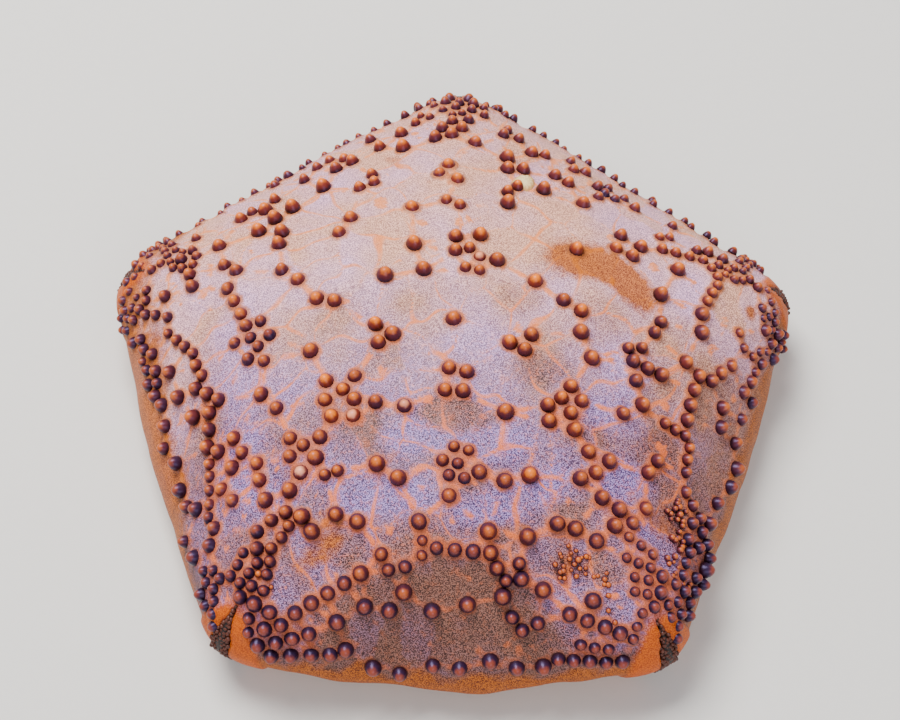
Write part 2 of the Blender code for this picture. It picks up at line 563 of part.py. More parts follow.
def main():
    for old in list(bpy.data.objects):
        bpy.data.objects.remove(old, do_unlink=True)

    centre = bpy.data.objects.new("cushion_star", None)
    bpy.context.scene.collection.objects.link(centre)
    centre.location = [c * MM for c in BODY_CENTRE]

    hide = material("leathery skin", SKIN_COLOUR, 0.5)
    strip = material("furrow spines", STRIP_COLOUR, 0.6)
    jaw = material("jaw plates", JAW_COLOUR, 0.6)
    sieve = material("sieve plate", SIEVE_COLOUR, 0.7)

    blocks = cutting_blocks(centre)
    groove = furrow_mesh("furrow_groove", FURROW_HALF_WIDTH, GROOVE_OVERCUT, 0, -FURROW_DEPTH, GROOVE_TRIM)
    filling = furrow_mesh("furrow_filling", FURROW_HALF_WIDTH - STRIP_GAP, -STRIP_RECESS,
                          STRIP_RECESS + STRIP_SWELL, STRIP_GAP - FURROW_DEPTH, STRIP_GAP)
    groove_cutters = {}
    for name, degrees in ARM_DEGREES.items():
        turn = math.radians(degrees)
        groove_cutters[name] = add_object(f"cut_furrow_{name}", groove, centre, turn, True)
        add_object(f"furrow_{name}", filling, centre, turn)
    filling.materials.append(strip)

    plug = mouth_mesh()
    plug.materials.append(jaw)
    add_object("mouth", plug, centre)
    recess = mesh_from("mouth_recess", *prism(circle(MOUTH_RADIUS, MOUTH_SIDES), CUT_LOW, MOUTH_ROOF))
    recess_cutter = add_object("cut_mouth", recess, centre, cutter=True)

    spot, upright = placed_on_skin(np.array([MADREPORITE_AT]))
    seat = Matrix.Translation(Vector(spot[0] * MM))
    seat @= Vector(upright[0]).to_track_quat("Z", "Y").to_matrix().to_4x4()
    rim = circle(MADREPORITE_RADIUS + CUT_GAP, MADREPORITE_SIDES)
    socket = mesh_from("sieve_socket", *prism(rim, -MADREPORITE_DEPTH, SOCKET_TOP))
    socket_cutter = add_object("cut_madreporite", socket, centre, cutter=True)
    plate_rings = [[(x, y, z) for x, y in circle(MADREPORITE_RADIUS * share, MADREPORITE_SIDES)]
                   for share, z in ((1.0, CUT_GAP - MADREPORITE_DEPTH), *MADREPORITE_RINGS)]
    plate = mesh_from("madreporite", *ringed(plate_rings, last=(0, 0, MADREPORITE_TOP)))
    plate.materials.append(sieve)
    plate_object = add_object("madreporite", plate, centre)
    for placed in (socket_cutter, plate_object):
        placed.matrix_local = seat

    body = body_mesh()
    body.materials.append(hide)
    plan, widths = tubercles()
    points, normals = placed_on_skin(plan)
    sector, turn = nearest_arm(points)
    on_disc = np.hypot(points[:, 0], points[:, 1]) * np.cos(turn) < DISC_APOTHEM
    for index, name in enumerate(["disc", *ARM_DEGREES]):
        mine = on_disc if name == "disc" else ~on_disc & (sector == index - 1)
        node = add_object(name if name == "disc" else f"arm_{name}", body.copy(), centre)
        boolean(node, "INTERSECT", blocks[name])
        drops = tubercle_mesh(f"tubercles_{name}", points[mine], normals[mine], widths[mine])
        boolean(node, "UNION", add_object(f"add_tubercles_{name}", drops, centre, cutter=True))
        if name == "disc":
            for cutter in (recess_cutter, socket_cutter, *groove_cutters.values()):
                boolean(node, "DIFFERENCE", cutter)
        else:
            boolean(node, "DIFFERENCE", groove_cutters[name])

    for shown in bpy.data.objects:
        if shown.type == "MESH" and not shown.hide_render:
            shown.data.shade_smooth()
            shown.data.set_sharp_from_angle(angle=math.radians(SHARP_DEGREES))


main()
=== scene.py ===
"""A cushion star, life size: one granular skin with its tubercles, furrows, mouth and sieve plate.

Lengths in the shape functions are millimetres from the mouth's axis; meshes are in metres.
"""

import math

import bmesh
import bpy
import numpy as np
from mathutils import Matrix, Vector


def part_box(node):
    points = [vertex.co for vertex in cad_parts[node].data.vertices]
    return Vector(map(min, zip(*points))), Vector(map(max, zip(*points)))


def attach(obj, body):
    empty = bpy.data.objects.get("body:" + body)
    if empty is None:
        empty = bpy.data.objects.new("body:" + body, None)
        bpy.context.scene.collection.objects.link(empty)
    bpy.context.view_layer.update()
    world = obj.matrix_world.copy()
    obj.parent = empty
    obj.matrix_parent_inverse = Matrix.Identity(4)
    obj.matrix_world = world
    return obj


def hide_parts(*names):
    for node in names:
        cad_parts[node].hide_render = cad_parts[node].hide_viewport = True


bl_info = {
    "name": "Cushion star",
    "version": (1, 0, 0),
    "blender": (4, 5, 0),
    "location": "3D View > Sidebar > Cushion star",
    "description": "Builds a life-size cushion star over its packed solids",
    "category": "Add Mesh",
}

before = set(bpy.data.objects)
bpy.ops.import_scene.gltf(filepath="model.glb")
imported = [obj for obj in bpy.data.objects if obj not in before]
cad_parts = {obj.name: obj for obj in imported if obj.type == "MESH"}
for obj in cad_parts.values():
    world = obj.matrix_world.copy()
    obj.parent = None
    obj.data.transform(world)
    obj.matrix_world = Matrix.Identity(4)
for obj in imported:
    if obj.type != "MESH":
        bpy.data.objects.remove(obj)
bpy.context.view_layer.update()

# ---------------------------------------------------------------- the body's own sizes

MM = 0.001
TIP_REACH = 105.0  # from the mouth's axis to an arm's tip
SIDE_REACH = 88.5  # from the axis to the middle of a side, before it bulges
HEIGHT = 50.0
CORNER_SHARPNESS = 20
ARM_DEGREES = {"back": 90, "left": 162, "front_left": 234, "front_right": 306, "right": 18}
ARM_ANGLES = np.radians(list(ARM_DEGREES.values()))
ARM = math.radians(ARM_DEGREES["back"])  # the one that stands for all where they are alike
HALF_TURN_BETWEEN = 36  # degrees from an arm to the middle of a side
HALF_SIDE = math.radians(HALF_TURN_BETWEEN)
SIDE_BULGE = {54: 4.0, 126: 4.5, 198: 1.0, 270: 5.0, 342: 1.0}  # a side's degrees: how far it swells
SIDE_PROFILE = (  # (out, up) over the reach and the height, from the centre of the back to the foot
    (0, 1), (0.3, 0.985), (0.55, 0.90), (0.75, 0.735), (0.9, 0.52),
    (0.985, 0.33), (1.0, 0.22), (0.975, 0.10), (0.91, 0.015), (0.86, 0),
)
ARM_PROFILE = (
    (0, 1), (0.3, 0.98), (0.55, 0.885), (0.75, 0.74), (0.9, 0.60),
    (0.975, 0.45), (1.0, 0.32), (0.97, 0.155), (0.905, 0.03), (0.865, 0),
)
ARM_BLEND = 1.5  # how soon an arm's profile turns into a side's
SOLE_INNER_SHARE = 0.70  # of the reach: past it the sole is flat
MOUTH_RISE = 3.0  # how high the sole arches over the mouth
MOUTH_RADIUS = 11.0
MOUTH_PLUG = 10.0
MOUTH_ROOF = 8.5  # the height of the mouth's recess
FURROW_HALF_WIDTH = 4.4
FURROW_TOP = 0.47  # the place on an arm's profile where its furrow ends
FURROW_DEPTH = 4.5
MADREPORITE_AT = (20.0, 57.0)
FLESH_NODES = ["disc", *(f"arm_{name}" for name in ARM_DEGREES)]
FURROW_NODES = [f"furrow_{name}" for name in ARM_DEGREES]
SEED = 11
UP, DOWN = np.array([0, 0, 1.0]), (0.0, 0.0, -1.0)


def body_centre():
    """The mouth's axis on the floor, in metres: its plug reaches MOUTH_PLUG towards the back arm."""
    low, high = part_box("mouth")
    return np.array([(low[0] + high[0]) / 2, high[1] - MOUTH_PLUG * MM, 0.0])


CENTRE = body_centre()

# ---------------------------------------------------------------- tubercles, by group

LARGE_DROP = 4.9
SMALL_DROP = 3.6
DROP_SPACING = 1.0  # least distance between neighbours over their mean width
FAR_SHRINK = 0.18  # how much smaller the tubercles are round the rim of the back and sides
FAR_FROM_FRONT, FAR_FROM_AXIS = (-25, 10), (76, 90)  # from where to where they shrink
ROW_FILL, ROW_DROP = 0.9, 4.6  # a row's width over its spacing, and the most it can be
CLUSTER_FILL, CLUSTER_SPREAD, CLUSTER_TURN = 0.86, 0.62, 2.4  # of a spiral's width, radius and turn
CLUSTER_START = 0.3  # of a turn: how far off its middle a spiral begins
EASING_STEPS, EASING_SHARE = 14, 0.4
SAME_PLACE = 1e-6
# Places are millimetres over the skin from the centre of the back, +x right and +y to the back arm.

SINGLES = (
    (0, 2), (-12, 28), (-9, 19), (-20, 17), (12, 23), (23, 16), (-13, 42), (15, 46), (38, 50), (-41, 57),
    (-17, 73), (15, 68), (26, 54), (-52, 31), (-40, -8), (39, -8), (36, 0), (35, 29), (60, 17), (66, 28),
    (73, 8), (73, 14), (7, 32), (15, -27), (-20, -43), (-14, -47), (8, -45), (22, -45), (0, -52), (22, -62),
    (-38, -61), (41, -62), (-62, -41), (-12, -78), (16, -78), (6, -81), (-4, -83), (27, -76), (-31, -86),
    (5, 73), (-8, -59), (11, -61), (24, 74), (-28, 83), (-71, 34), (-83, 31), (-23, -82), (-16, -83),
    (42, -50), (-3, 60), (-17, -3), (16, -5), (-33, -29), (-37, -41), (-41, -45), (-51, -52), (-68, -35),
    (34, -31), (36, -45), (44, -39), (15, -47), (-44, -50), (-40, -58), (46, -57), (47, -53), (-86, -5),
    (-83, -14), (-77, -22), (-75, -51), (-87, 19), (77, 40), (82, 38), (93, 0), (90, -5), (96, 17),
    (77, -65), (41, -78), (-53, -81), (-18, 82), (-5, 97), (5, 97), (-3, 101), (3, 101),
)
ROWS = (  # from, to, count
    (-3, 45, 1, 43, 2), (-31, 39, -34, 33, 2), (-5, 57, 0, 54, 2), (-39, 9, -34, 8, 2),
    (-50, 20, -45, 16, 2), (-68, 25, -64, 22, 2), (-66, 16, -59, 2, 4), (-79, 25, -78, 20, 2),
    (-86, 7, -77, -2, 4), (-76, -6, -74, -10, 2), (-76, -13, -68, -19, 3), (-71, -22, -71, -33, 3),
    (-70, -38, -69, -55, 5), (-67, -58, -68, -63, 2), (-62, -32, -59, -37, 2), (-54, -41, -53, -46, 2),
    (-65, -47, -61, -51, 2), (0, 31, 0, 26, 2), (4, 27, 7, 24, 2), (3, 20, 7, 19, 2), (-22, 0, -21, -6, 2),
    (22, -2, 20, -7, 2), (-35, -18, -35, -24, 2), (-27, -17, -30, -21, 2), (-27, -24, -27, -29, 2),
    (-21, -25, -13, -26, 2), (-44, -35, -44, -40, 2), (-41, -37, -36, -35, 2), (33, -18, 30, -22, 2),
    (36, -22, 33, -26, 2), (27, -24, 27, -29, 2), (38, -37, 40, -43, 2), (50, -3, 54, -2, 2),
    (52, -7, 52, -13, 2), (55, -8, 60, -9, 2), (51, -56, 55, -51, 2), (17, -74, 20, -71, 2),
    (-54, -20, -49, -25, 2), (-34, -46, -31, -45, 2), (-31, -57, -25, -59, 2), (-1, -14, 4, -15, 2),
    (-2, -21, 3, -21, 2), (31, 10, 36, 7, 2), (60, 8, 58, 4, 2), (47, 32, 52, 30, 2), (49, 38, 55, 35, 2),
    (62, 36, 75, 35, 4), (62, 42, 65, 43, 2), (75, 19, 79, 27, 3), (68, -3, 73, -6, 2), (77, -6, 84, 1, 3),
    (71, -11, 69, -21, 3), (62, -24, 68, -26, 3), (70, -29, 69, -37, 3), (69, -43, 74, -50, 3),
    (48, -24, 54, -20, 2), (59, -36, 56, -40, 2), (30, -58, 35, -59, 2), (-7, -64, -7, -68, 2),
    (-3, -66, 12, -67, 4), (14, -71, 20, -72, 2), (-34, 71, -38, 67, 2), (-45, 72, -41, 75, 2),
    (-60, 69, -56, 75, 2), (30, 63, 34, 60, 2), (15, 51, 18, 54, 2), (15, 62, 20, 63, 2),
    (14, 81, 19, 81, 2), (36, 76, 40, 71, 2), (82, -13, 82, -19, 2), (86, 12, 88, 8, 2),
    (-93, 41, -101, 26, 5), (-97, 41, -104, 24, 4), (-86, 12, -103, 20, 5), (-97, 9, -94, -6, 4),
    (-93, 3, -92, -10, 3), (96, 30, 101, 20, 4), (92, 7, 98, 11, 3), (96, 7, 99, 14, 2),
    (-7, 76, -2, 77, 2), (-5, 81, 1, 81, 2), (-2, 85, 3, 86, 2), (-2, 89, 1, 90, 2), (-5, 92, -1, 94, 2),
    (-9, 89, -12, 91, 2), (4, 93, 8, 91, 2), (-2, -42, 0, -46, 2), (1, -38, 5, -39, 2), (2, -43, 4, -47, 2),
    (-45, -56, -49, -58, 2), (-44, -60, -46, -63, 2), (-53, -61, -53, -66, 2), (-49, -66, -50, -73, 3),
    (-57, -67, -60, -73, 3), (-53, -70, -57, -75, 3), (-52, -78, -55, -76, 2), (-50, -83, -51, -88, 2),
    (-55, -84, -56, -88, 2), (-66, -77, -67, -85, 4), (-70, -72, -70, -78, 3), (-64, -73, -66, -71, 2),
    (-24, -73, -47, -86, 6), (-39, -89, -54, -92, 4), (-33, -95, -51, -95, 4), (50, -60, 57, -64, 3),
    (50, -66, 56, -68, 3), (52, -71, 56, -71, 2), (53, -75, 56, -76, 2), (60, -70, 60, -75, 2),
    (62, -77, 64, -80, 2), (55, -81, 53, -86, 3), (66, -77, 67, -85, 4), (70, -75, 71, -79, 2),
    (66, -72, 70, -60, 4), (74, -68, 73, -72, 2), (35, -82, 50, -86, 4), (39, -90, 47, -91, 3),
    (33, -95, 52, -94, 5),
)
CLUSTERS = (  # middle, count, spacing
    (-57, -4, 7, 4.7), (-26, 56, 3, 4.8), (-57, 45, 6, 7.0), (47, 60, 5, 4.4), (23, -86, 3, 4.8),
    (74, -57, 5, 4.6), (-15, -71, 3, 4.8),
)
AMBITAL_BAND = {  # a side's degrees: tubercles along its foot, degrees between, width, place down the profile
    54: (23, 2.8, 3.7, 0.755), 126: (23, 2.8, 3.7, 0.755), 198: (13, 4.8, 4.5, 0.755),
    270: (8, 5.0, 4.9, 0.778), 342: (13, 4.8, 4.5, 0.755),
}
BAND_TURNS, BAND_SHARES, BAND_WIDTHS = (-0.012, 0.012), (-0.02, 0.03), (0.88, 1.08)  # each one's own change
SHOULDER_SIDES = (54, 126)  # the sides with a loose row above that band
SHOULDER_PER_SIDE = 7
SHOULDER_TURN = math.radians(8.5)
SHOULDER_SHARE = 0.64
SHOULDER_DROP = 4.2
SHOULDER_ASTRAY = (-0.03, 0.03)
TERMINAL_SHARE = 0.697  # the single tubercle over the furrow's end
TERMINAL_DROP = 4.2
RIDGE_ROWS = 5  # rows of small tubercles along an arm's ridge, up to the terminal one
RIDGE_SHARES = (0.61, TERMINAL_SHARE - 0.02)
COLLAR_ROWS = 4  # pairs beside the smooth lips of the furrow's end
COLLAR_LAST_SHARE = 0.785
RIDGE_COLUMNS = {"left": (-5.6, -1.9), "right": (1.9, 5.6)}  # millimetres aside, + is anticlockwise
COLLAR_COLUMNS = {"back": (-2.1, 2.1), "left": (-5.6, -2.1, 2.1, 5.6), "right": (-5.6, -2.1, 2.1, 5.6)}
COLLAR_FIRST, COLLAR_STEP, COLLAR_MOST = 0.36, 0.27, 0.9  # how far out the pairs stand, over the lips' edge
TIP_DROP = 3.9
TIP_ASTRAY, TIP_WIDTHS = (-0.6, 0.6), (0.85, 1.1)  # millimetres aside, and over TIP_DROP
STAGGER = 0.8  # how much further aside every second pair stands
LIP_WIDTH = 7.4  # smooth skin on each side of the furrow's end

# ---------------------------------------------------------------- the body's form

OVAL_FADE = (0.3, 1.2)  # from where to where an oval fades, over its own size
WAVES, WAVE_LENGTHS, WAVE_SUM = 7, (0.7, 1.5), 3.2  # how many, over the pitch, and their usual sum


def smooth(values, place):
    """A smooth curve with no overshoot through evenly spaced values, read at places from 0 to 1."""
    values = np.asarray(values, float)
    steps = np.diff(values)
    before, after = steps[:-1], steps[1:]
    same_way = before * after > 0
    mean = np.where(same_way, 2 * before * after / np.where(same_way, before + after, 1), 0)
    slopes = np.concatenate([steps[:1], mean, steps[-1:]])
    along = np.clip(place, 0, 1) * len(steps)
    first = np.minimum(along.astype(int), len(steps) - 1)
    f = along - first
    rise = values[first + 1] - values[first]
    start, end = slopes[first], slopes[first + 1]
    return values[first] + f * start + f**2 * (3 * rise - 2 * start - end) + f**3 * (start + end - 2 * rise)


def turned(angle):
    """The angle brought within half a turn of zero."""
    return (angle + np.pi) % (2 * np.pi) - np.pi


def pentagon(azimuth):
    """1 at the middle of a side, more towards a corner."""
    total = 0
    for degrees in ARM_DEGREES.values():
        towards_side = np.cos(azimuth - math.radians(degrees + HALF_TURN_BETWEEN))
        total = total + np.maximum(0, towards_side) ** CORNER_SHARPNESS
    return total ** (-1 / CORNER_SHARPNESS)


def reach(azimuth):
    """Distance from the centre to the widest ring."""
    share = (pentagon(azimuth) - 1) / (pentagon(ARM) - 1)
    swell = 0
    for degrees, bulge in SIDE_BULGE.items():
        off = np.clip(turned(azimuth - math.radians(degrees)), -HALF_SIDE, HALF_SIDE)
        swell = swell + bulge * np.cos(off / HALF_SIDE * math.pi / 2)
    return SIDE_REACH + (TIP_REACH - SIDE_REACH) * share + swell


def skin(azimuth, place):
    """Points of the back and walls: place runs from 0 at the centre to 1 at the foot."""
    azimuth, place = np.broadcast_arrays(np.asarray(azimuth, float), np.asarray(place, float))
    arm = (0.5 + 0.5 * np.cos(len(ARM_DEGREES) * (azimuth - ARM))) ** ARM_BLEND
    sides, arms = np.transpose(SIDE_PROFILE), np.transpose(ARM_PROFILE)
    out, up = (smooth(sides[k], place) * (1 - arm) + smooth(arms[k], place) * arm for k in (0, 1))
    radius = out * reach(azimuth)
    return np.stack([radius * np.cos(azimuth), radius * np.sin(azimuth), up * HEIGHT], axis=-1)


def underside_height(share):
    """The sole is flat out to the foot and arches a little over the mouth."""
    return MOUTH_RISE * (1 - np.minimum(share / SOLE_INNER_SHARE, 1) ** 2) ** 2


TUBERCLE_STEPS, TUBERCLE_NUDGE = 121, 0.004  # how finely the skin is followed where tubercles stand
LEAST_PLACE, LEAST_ROUND = 0.001, 0.01  # off the centre, where all azimuths meet


def lengths_along(lines):
    """The length from each line's start to each of its points."""
    steps = np.linalg.norm(np.diff(lines, axis=-2), axis=-1)
    return np.insert(np.cumsum(steps, axis=-1), 0, 0, axis=-1)


def profile_lengths(azimuth, count):
    """(places on the profile, the length down it to each of them for each azimuth)."""
    places = np.linspace(0, 1, count)
    return places, lengths_along(skin(azimuth[:, None], places[None, :]))


def outward_directions(azimuth, place, nudge):
    """Unit vectors square to two short lines on the skin, one down it and one round it."""
    down = skin(azimuth, place + nudge) - skin(azimuth, np.maximum(place - nudge, LEAST_PLACE))
    place = np.maximum(place, LEAST_ROUND)
    around = skin(azimuth + nudge, place) - skin(azimuth - nudge, place)
    normals = np.cross(down, around)
    return normals / np.linalg.norm(normals, axis=1, keepdims=True)


def placed_on_skin(plan):
    """(points, outward directions) at places given as millimetres over the skin from the centre."""
    azimuth = np.arctan2(plan[:, 1], plan[:, 0])
    places, lengths = profile_lengths(azimuth, TUBERCLE_STEPS)
    place = np.array([np.interp(over, line, places) for over, line in zip(outward_from_axis(plan), lengths)])
    return skin(azimuth, place), outward_directions(azimuth, place, TUBERCLE_NUDGE)


def profile_length(azimuth):
    """The length from the centre of the back down to the foot."""
    return float(profile_lengths(np.array([azimuth]), TUBERCLE_STEPS)[1][0, -1])


def outward_from_axis(points):
    return np.hypot(points[..., 0], points[..., 1])


def beside_arm(points):
    """How far each point stands beside the nearest arm's middle line."""
    azimuth = np.arctan2(points[..., 1], points[..., 0])
    turns = turned(azimuth[..., None] - ARM_ANGLES)
    return outward_from_axis(points) * np.sin(np.abs(turns).min(axis=-1))


def step_up(value, start, end):
    """0 before start, 1 after end, smooth between."""
    share = np.clip((value - start) / (end - start), 0, 1)
    return share * share * (3 - 2 * share)


def near(plan, x, y, width, depth, turn=0.0):
    """1 in the middle of an oval over the skin, falling softly to 0 past its edge."""
    c, s = math.cos(math.radians(turn)), math.sin(math.radians(turn))
    dx, dy = plan[..., 0] - x, plan[..., 1] - y
    along, across = (dx * c + dy * s) / width, (dy * c - dx * s) / depth
    return 1 - step_up(np.hypot(along, across), *OVAL_FADE)


def wander(plan, pitch, seed):
    """A smooth wandering value from about -1 to 1 that changes over the given distance."""
    chance = np.random.default_rng(seed)
    total = 0
    for _ in range(WAVES):
        angle, phase = chance.uniform(0, 2 * np.pi, 2)
        length = pitch * chance.uniform(*WAVE_LENGTHS)
        along = plan[..., 0] * math.cos(angle) + plan[..., 1] * math.sin(angle)
        total = total + np.sin(2 * np.pi * along / length + phase)
    return total / WAVE_SUM


# ---------------------------------------------------------------- where the tubercles stand


def from_polar(azimuth, over):
    return over * math.cos(azimuth), over * math.sin(azimuth)


def row_tubercles():
    """(x, y, width) of the tubercles that stand in short rows."""
    found = []
    for x0, y0, x1, y1, count in ROWS:
        spacing = math.hypot(x1 - x0, y1 - y0) / (count - 1)
        width = min(max(ROW_FILL * spacing, SMALL_DROP), ROW_DROP)
        for k in range(count):
            share = k / (count - 1)
            found.append((x0 + (x1 - x0) * share, y0 + (y1 - y0) * share, width))
    return found


def cluster_tubercles():
    """(x, y, width) of the tubercles that stand in small spirals."""
    found = []
    for x, y, count, spacing in CLUSTERS:
        for k in range(count):
            radius = CLUSTER_SPREAD * spacing * math.sqrt(k + CLUSTER_START)
            dx, dy = from_polar(CLUSTER_TURN * k + x, radius)
            found.append((x + dx, y + dy, min(CLUSTER_FILL * spacing, LARGE_DROP)))
    return found


def side_tubercles(middle, chance):
    """(x, y, width) of the band along a side's foot, and of the loose row above it."""
    side = math.radians(middle)
    count, turn, width, place = AMBITAL_BAND[middle]
    found = []
    for k in range(count):
        azimuth = side + (k - (count - 1) / 2) * math.radians(turn) + chance.uniform(*BAND_TURNS)
        share = place + chance.uniform(*BAND_SHARES)
        own_width = width * chance.uniform(*BAND_WIDTHS)
        found.append((*from_polar(azimuth, share * profile_length(azimuth)), own_width))
    for k in range(SHOULDER_PER_SIDE if middle in SHOULDER_SIDES else 0):
        azimuth = side + (k - (SHOULDER_PER_SIDE - 1) / 2) * SHOULDER_TURN + chance.uniform(*SHOULDER_ASTRAY)
        share = SHOULDER_SHARE + chance.uniform(*SHOULDER_ASTRAY)
        found.append((*from_polar(azimuth, share * profile_length(azimuth)), SHOULDER_DROP))
    return found


def tip_tubercles(name, chance):
    """(x, y, width) of the terminal tubercle, the rows up the ridge to it and the collar round the lips."""
    arm = math.radians(ARM_DEGREES[name])
    whole = profile_length(arm)
    found = [(*from_polar(arm, TERMINAL_SHARE * whole), TERMINAL_DROP)]
    rows = [(share, 0, RIDGE_COLUMNS.get(name, ())) for share in np.linspace(*RIDGE_SHARES, RIDGE_ROWS)]
    for k, share in enumerate(np.linspace(TERMINAL_SHARE, COLLAR_LAST_SHARE, COLLAR_ROWS)):
        lips = (FURROW_HALF_WIDTH + LIP_WIDTH) * min(COLLAR_MOST, COLLAR_FIRST + COLLAR_STEP * k)
        rows.append((share, lips, COLLAR_COLUMNS.get(name, ())))
    for row, (share, beside, columns) in enumerate(rows):
        for column in columns:
            across = math.copysign(beside + abs(column) + STAGGER * (row % 2), column)
            azimuth = arm + math.atan2(across + chance.uniform(*TIP_ASTRAY), share * whole)
            found.append((*from_polar(azimuth, share * whole), TIP_DROP * chance.uniform(*TIP_WIDTHS)))
    return found


def tubercle_plan():
    """(places over the skin, widths) of every tubercle."""
    chance = np.random.default_rng(SEED)
    found = [(x, y, LARGE_DROP) for x, y in SINGLES] + row_tubercles() + cluster_tubercles()
    for arm, degrees in ARM_DEGREES.items():
        found += side_tubercles((degrees + HALF_TURN_BETWEEN) % 360, chance)
        found += tip_tubercles(arm, chance)
    found = np.array(found)
    plan, widths = found[:, :2], found[:, 2]
    far = step_up(plan[:, 1], *FAR_FROM_FRONT) * step_up(outward_from_axis(plan), *FAR_FROM_AXIS)
    return plan, widths * (1 - FAR_SHRINK * far)


def pushed_off(places, others, wanted, share):
    """The places moved away from others nearer than wanted, by a share of what they lack."""
    apart = places[:, None] - others[None, :]
    distance = np.linalg.norm(apart, axis=2)
    distance[distance < SAME_PLACE] = np.inf
    push = np.maximum(wanted - distance, 0) / distance
    return places + share * (apart * push[..., None]).sum(axis=1)


def eased_apart(plan, widths):
    """The places moved until no two tubercles touch."""
    wanted = DROP_SPACING * (widths[:, None] + widths[None, :]) / 2
    for _ in range(EASING_STEPS):
        plan = pushed_off(plan, plan, wanted, EASING_SHARE)
    return plan


def tubercles():
    """(plan, widths, points, outward directions) of every tubercle, eased apart."""
    plan, widths = tubercle_plan()
    plan = eased_apart(plan, widths)
    points, normals = placed_on_skin(plan)
    return plan, widths, points, normals


# ---------------------------------------------------------------- fields and the network between them

FIELD_REACH = 125.0
FIELD_ASTRAY = 0.22  # how far a field strays from the honeycomb, over its pitch
FIELD_FROM_TUBERCLE, FIELD_FROM_FIELD = 0.62, 0.95  # how far its centre keeps from those, over the pitch
FIELD_EASING = 0.35
HONEYCOMB_ROW = 0.87  # distance between a honeycomb's rows, over its pitch
BLOCK = 4000  # places worked out at a time


def honeycomb(pitch, half_side):
    """Places in staggered rows over a square."""
    found = []
    for index, y in enumerate(np.arange(-half_side, half_side, pitch * HONEYCOMB_ROW)):
        xs = np.arange(-half_side, half_side, pitch) + pitch / 2 * (index % 2)
        found += [(x, y) for x in xs]
    return np.array(found)


def field_centres(studs, pitch):
    """Centres of the papular fields, over the skin: an uneven honeycomb that keeps clear of the tubercles."""
    chance = np.random.default_rng(SEED)
    centres = honeycomb(pitch, FIELD_REACH)
    centres = centres[outward_from_axis(centres) < FIELD_REACH]
    centres = centres + chance.uniform(-FIELD_ASTRAY, FIELD_ASTRAY, centres.shape) * pitch
    for _ in range(EASING_STEPS):
        for others, gap in ((studs, FIELD_FROM_TUBERCLE), (centres, FIELD_FROM_FIELD)):
            centres = pushed_off(centres, others, pitch * gap, FIELD_EASING)
    return centres


def in_blocks(function, plan):
    """The function's arrays for a long list of places, worked out block by block."""
    found = [function(block) for block in np.array_split(plan, max(1, len(plan) // BLOCK))]
    return [np.concatenate(column) for column in zip(*found)]


def to_field_edge(plan, centres):
    """(distance to the line between the two nearest fields, index of the nearer one)."""
    def nearest_two(block):
        distance = np.linalg.norm(block[:, None] - centres[None, :], axis=2)
        two = np.argpartition(distance, 2, axis=1)[:, :2]
        pair = np.take_along_axis(distance, two, axis=1)
        order = pair.argsort(axis=1)
        two, pair = np.take_along_axis(two, order, axis=1), np.take_along_axis(pair, order, axis=1)
        between = np.linalg.norm(centres[two[:, 0]] - centres[two[:, 1]], axis=1)
        return (pair[:, 1] ** 2 - pair[:, 0] ** 2) / (2 * between), two[:, 0]
    return in_blocks(nearest_two, plan)


def to_nearest_feet(plan, studs, widths):
    """(distance to the nearest tubercle's foot, to the second nearest's, the gap between those two feet)."""
    def nearest_two(block):
        clear = np.linalg.norm(block[:, None] - studs[None, :], axis=2) - widths[None, :] / 2
        two = np.argpartition(clear, 2, axis=1)[:, :2]
        pair = np.sort(np.take_along_axis(clear, two, axis=1), axis=1)
        gap = np.linalg.norm(studs[two[:, 0]] - studs[two[:, 1]], axis=1) - widths[two].mean(axis=1)
        return pair[:, 0], pair[:, 1], gap
    return in_blocks(nearest_two, plan)


# ---------------------------------------------------------------- the skin's grid

SPOKE_GAP = 0.5  # neighbouring spokes closer than this are thinned out
MOST_THINNED = 32  # to one in so many
SKIN_LENGTH = 124.0  # a usual length from the centre of the back down to the foot
SKIN_STEPS, SKIN_NUDGE = 161, 0.003  # how finely the skin is followed for its own grid
UNDER_PITCH = 2.0
FURROW_CLIMB = float(skin(ARM, FURROW_TOP)[2])
TIP_FACE = float(outward_from_axis(skin(ARM, 1.0))) - 3  # past this the furrow has left the sole


def spread_places(azimuth, shares):
    """(places on the profile at the given shares of its length, the profile's length) for each azimuth."""
    places, lengths = profile_lengths(azimuth, SKIN_STEPS)
    spread = np.array([np.interp(shares * line[-1], line, places) for line in lengths])
    return spread.T, lengths[:, -1]


def skin_rings(spokes, ring_pitch):
    """Rings of (points, outward directions, places over the skin, underneath) from the back to the mouth."""
    azimuth = math.radians(ARM_DEGREES["right"]) + 2 * np.pi * np.arange(spokes) / spokes
    shares = np.linspace(0, 1, round(SKIN_LENGTH / ring_pitch) + 1)[1:]
    places, lengths = spread_places(azimuth, shares)
    rings = []
    for place, share in zip(places, shares):
        over = share * lengths
        skip = 1
        while skip < MOST_THINNED and 2 * np.pi * over.mean() / spokes * skip < SPOKE_GAP:
            skip *= 2
        here, at, length = azimuth[::skip], place[::skip], over[::skip]
        plan = np.stack([length * np.cos(here), length * np.sin(here)], axis=-1)
        rings.append((skin(here, at), outward_directions(here, at, SKIN_NUDGE), plan, False))
    here = azimuth[::2]
    foot = skin(here, 1.0)
    foot_reach, plan = outward_from_axis(foot), rings[-1][2][::2]
    direction = np.stack([np.cos(here), np.sin(here)], axis=-1)
    count = round((foot_reach.mean() - MOUTH_RADIUS) / UNDER_PITCH)
    for share in np.linspace(0, 1, count + 1)[1:]:
        radius = foot_reach + (MOUTH_RADIUS - foot_reach) * share
        points = np.column_stack([direction * radius[:, None], underside_height(radius / reach(here))])
        down = np.tile(DOWN, (len(here), 1))
        rings.append((points, down, plan + direction * (foot_reach - radius)[:, None], True))
    return rings


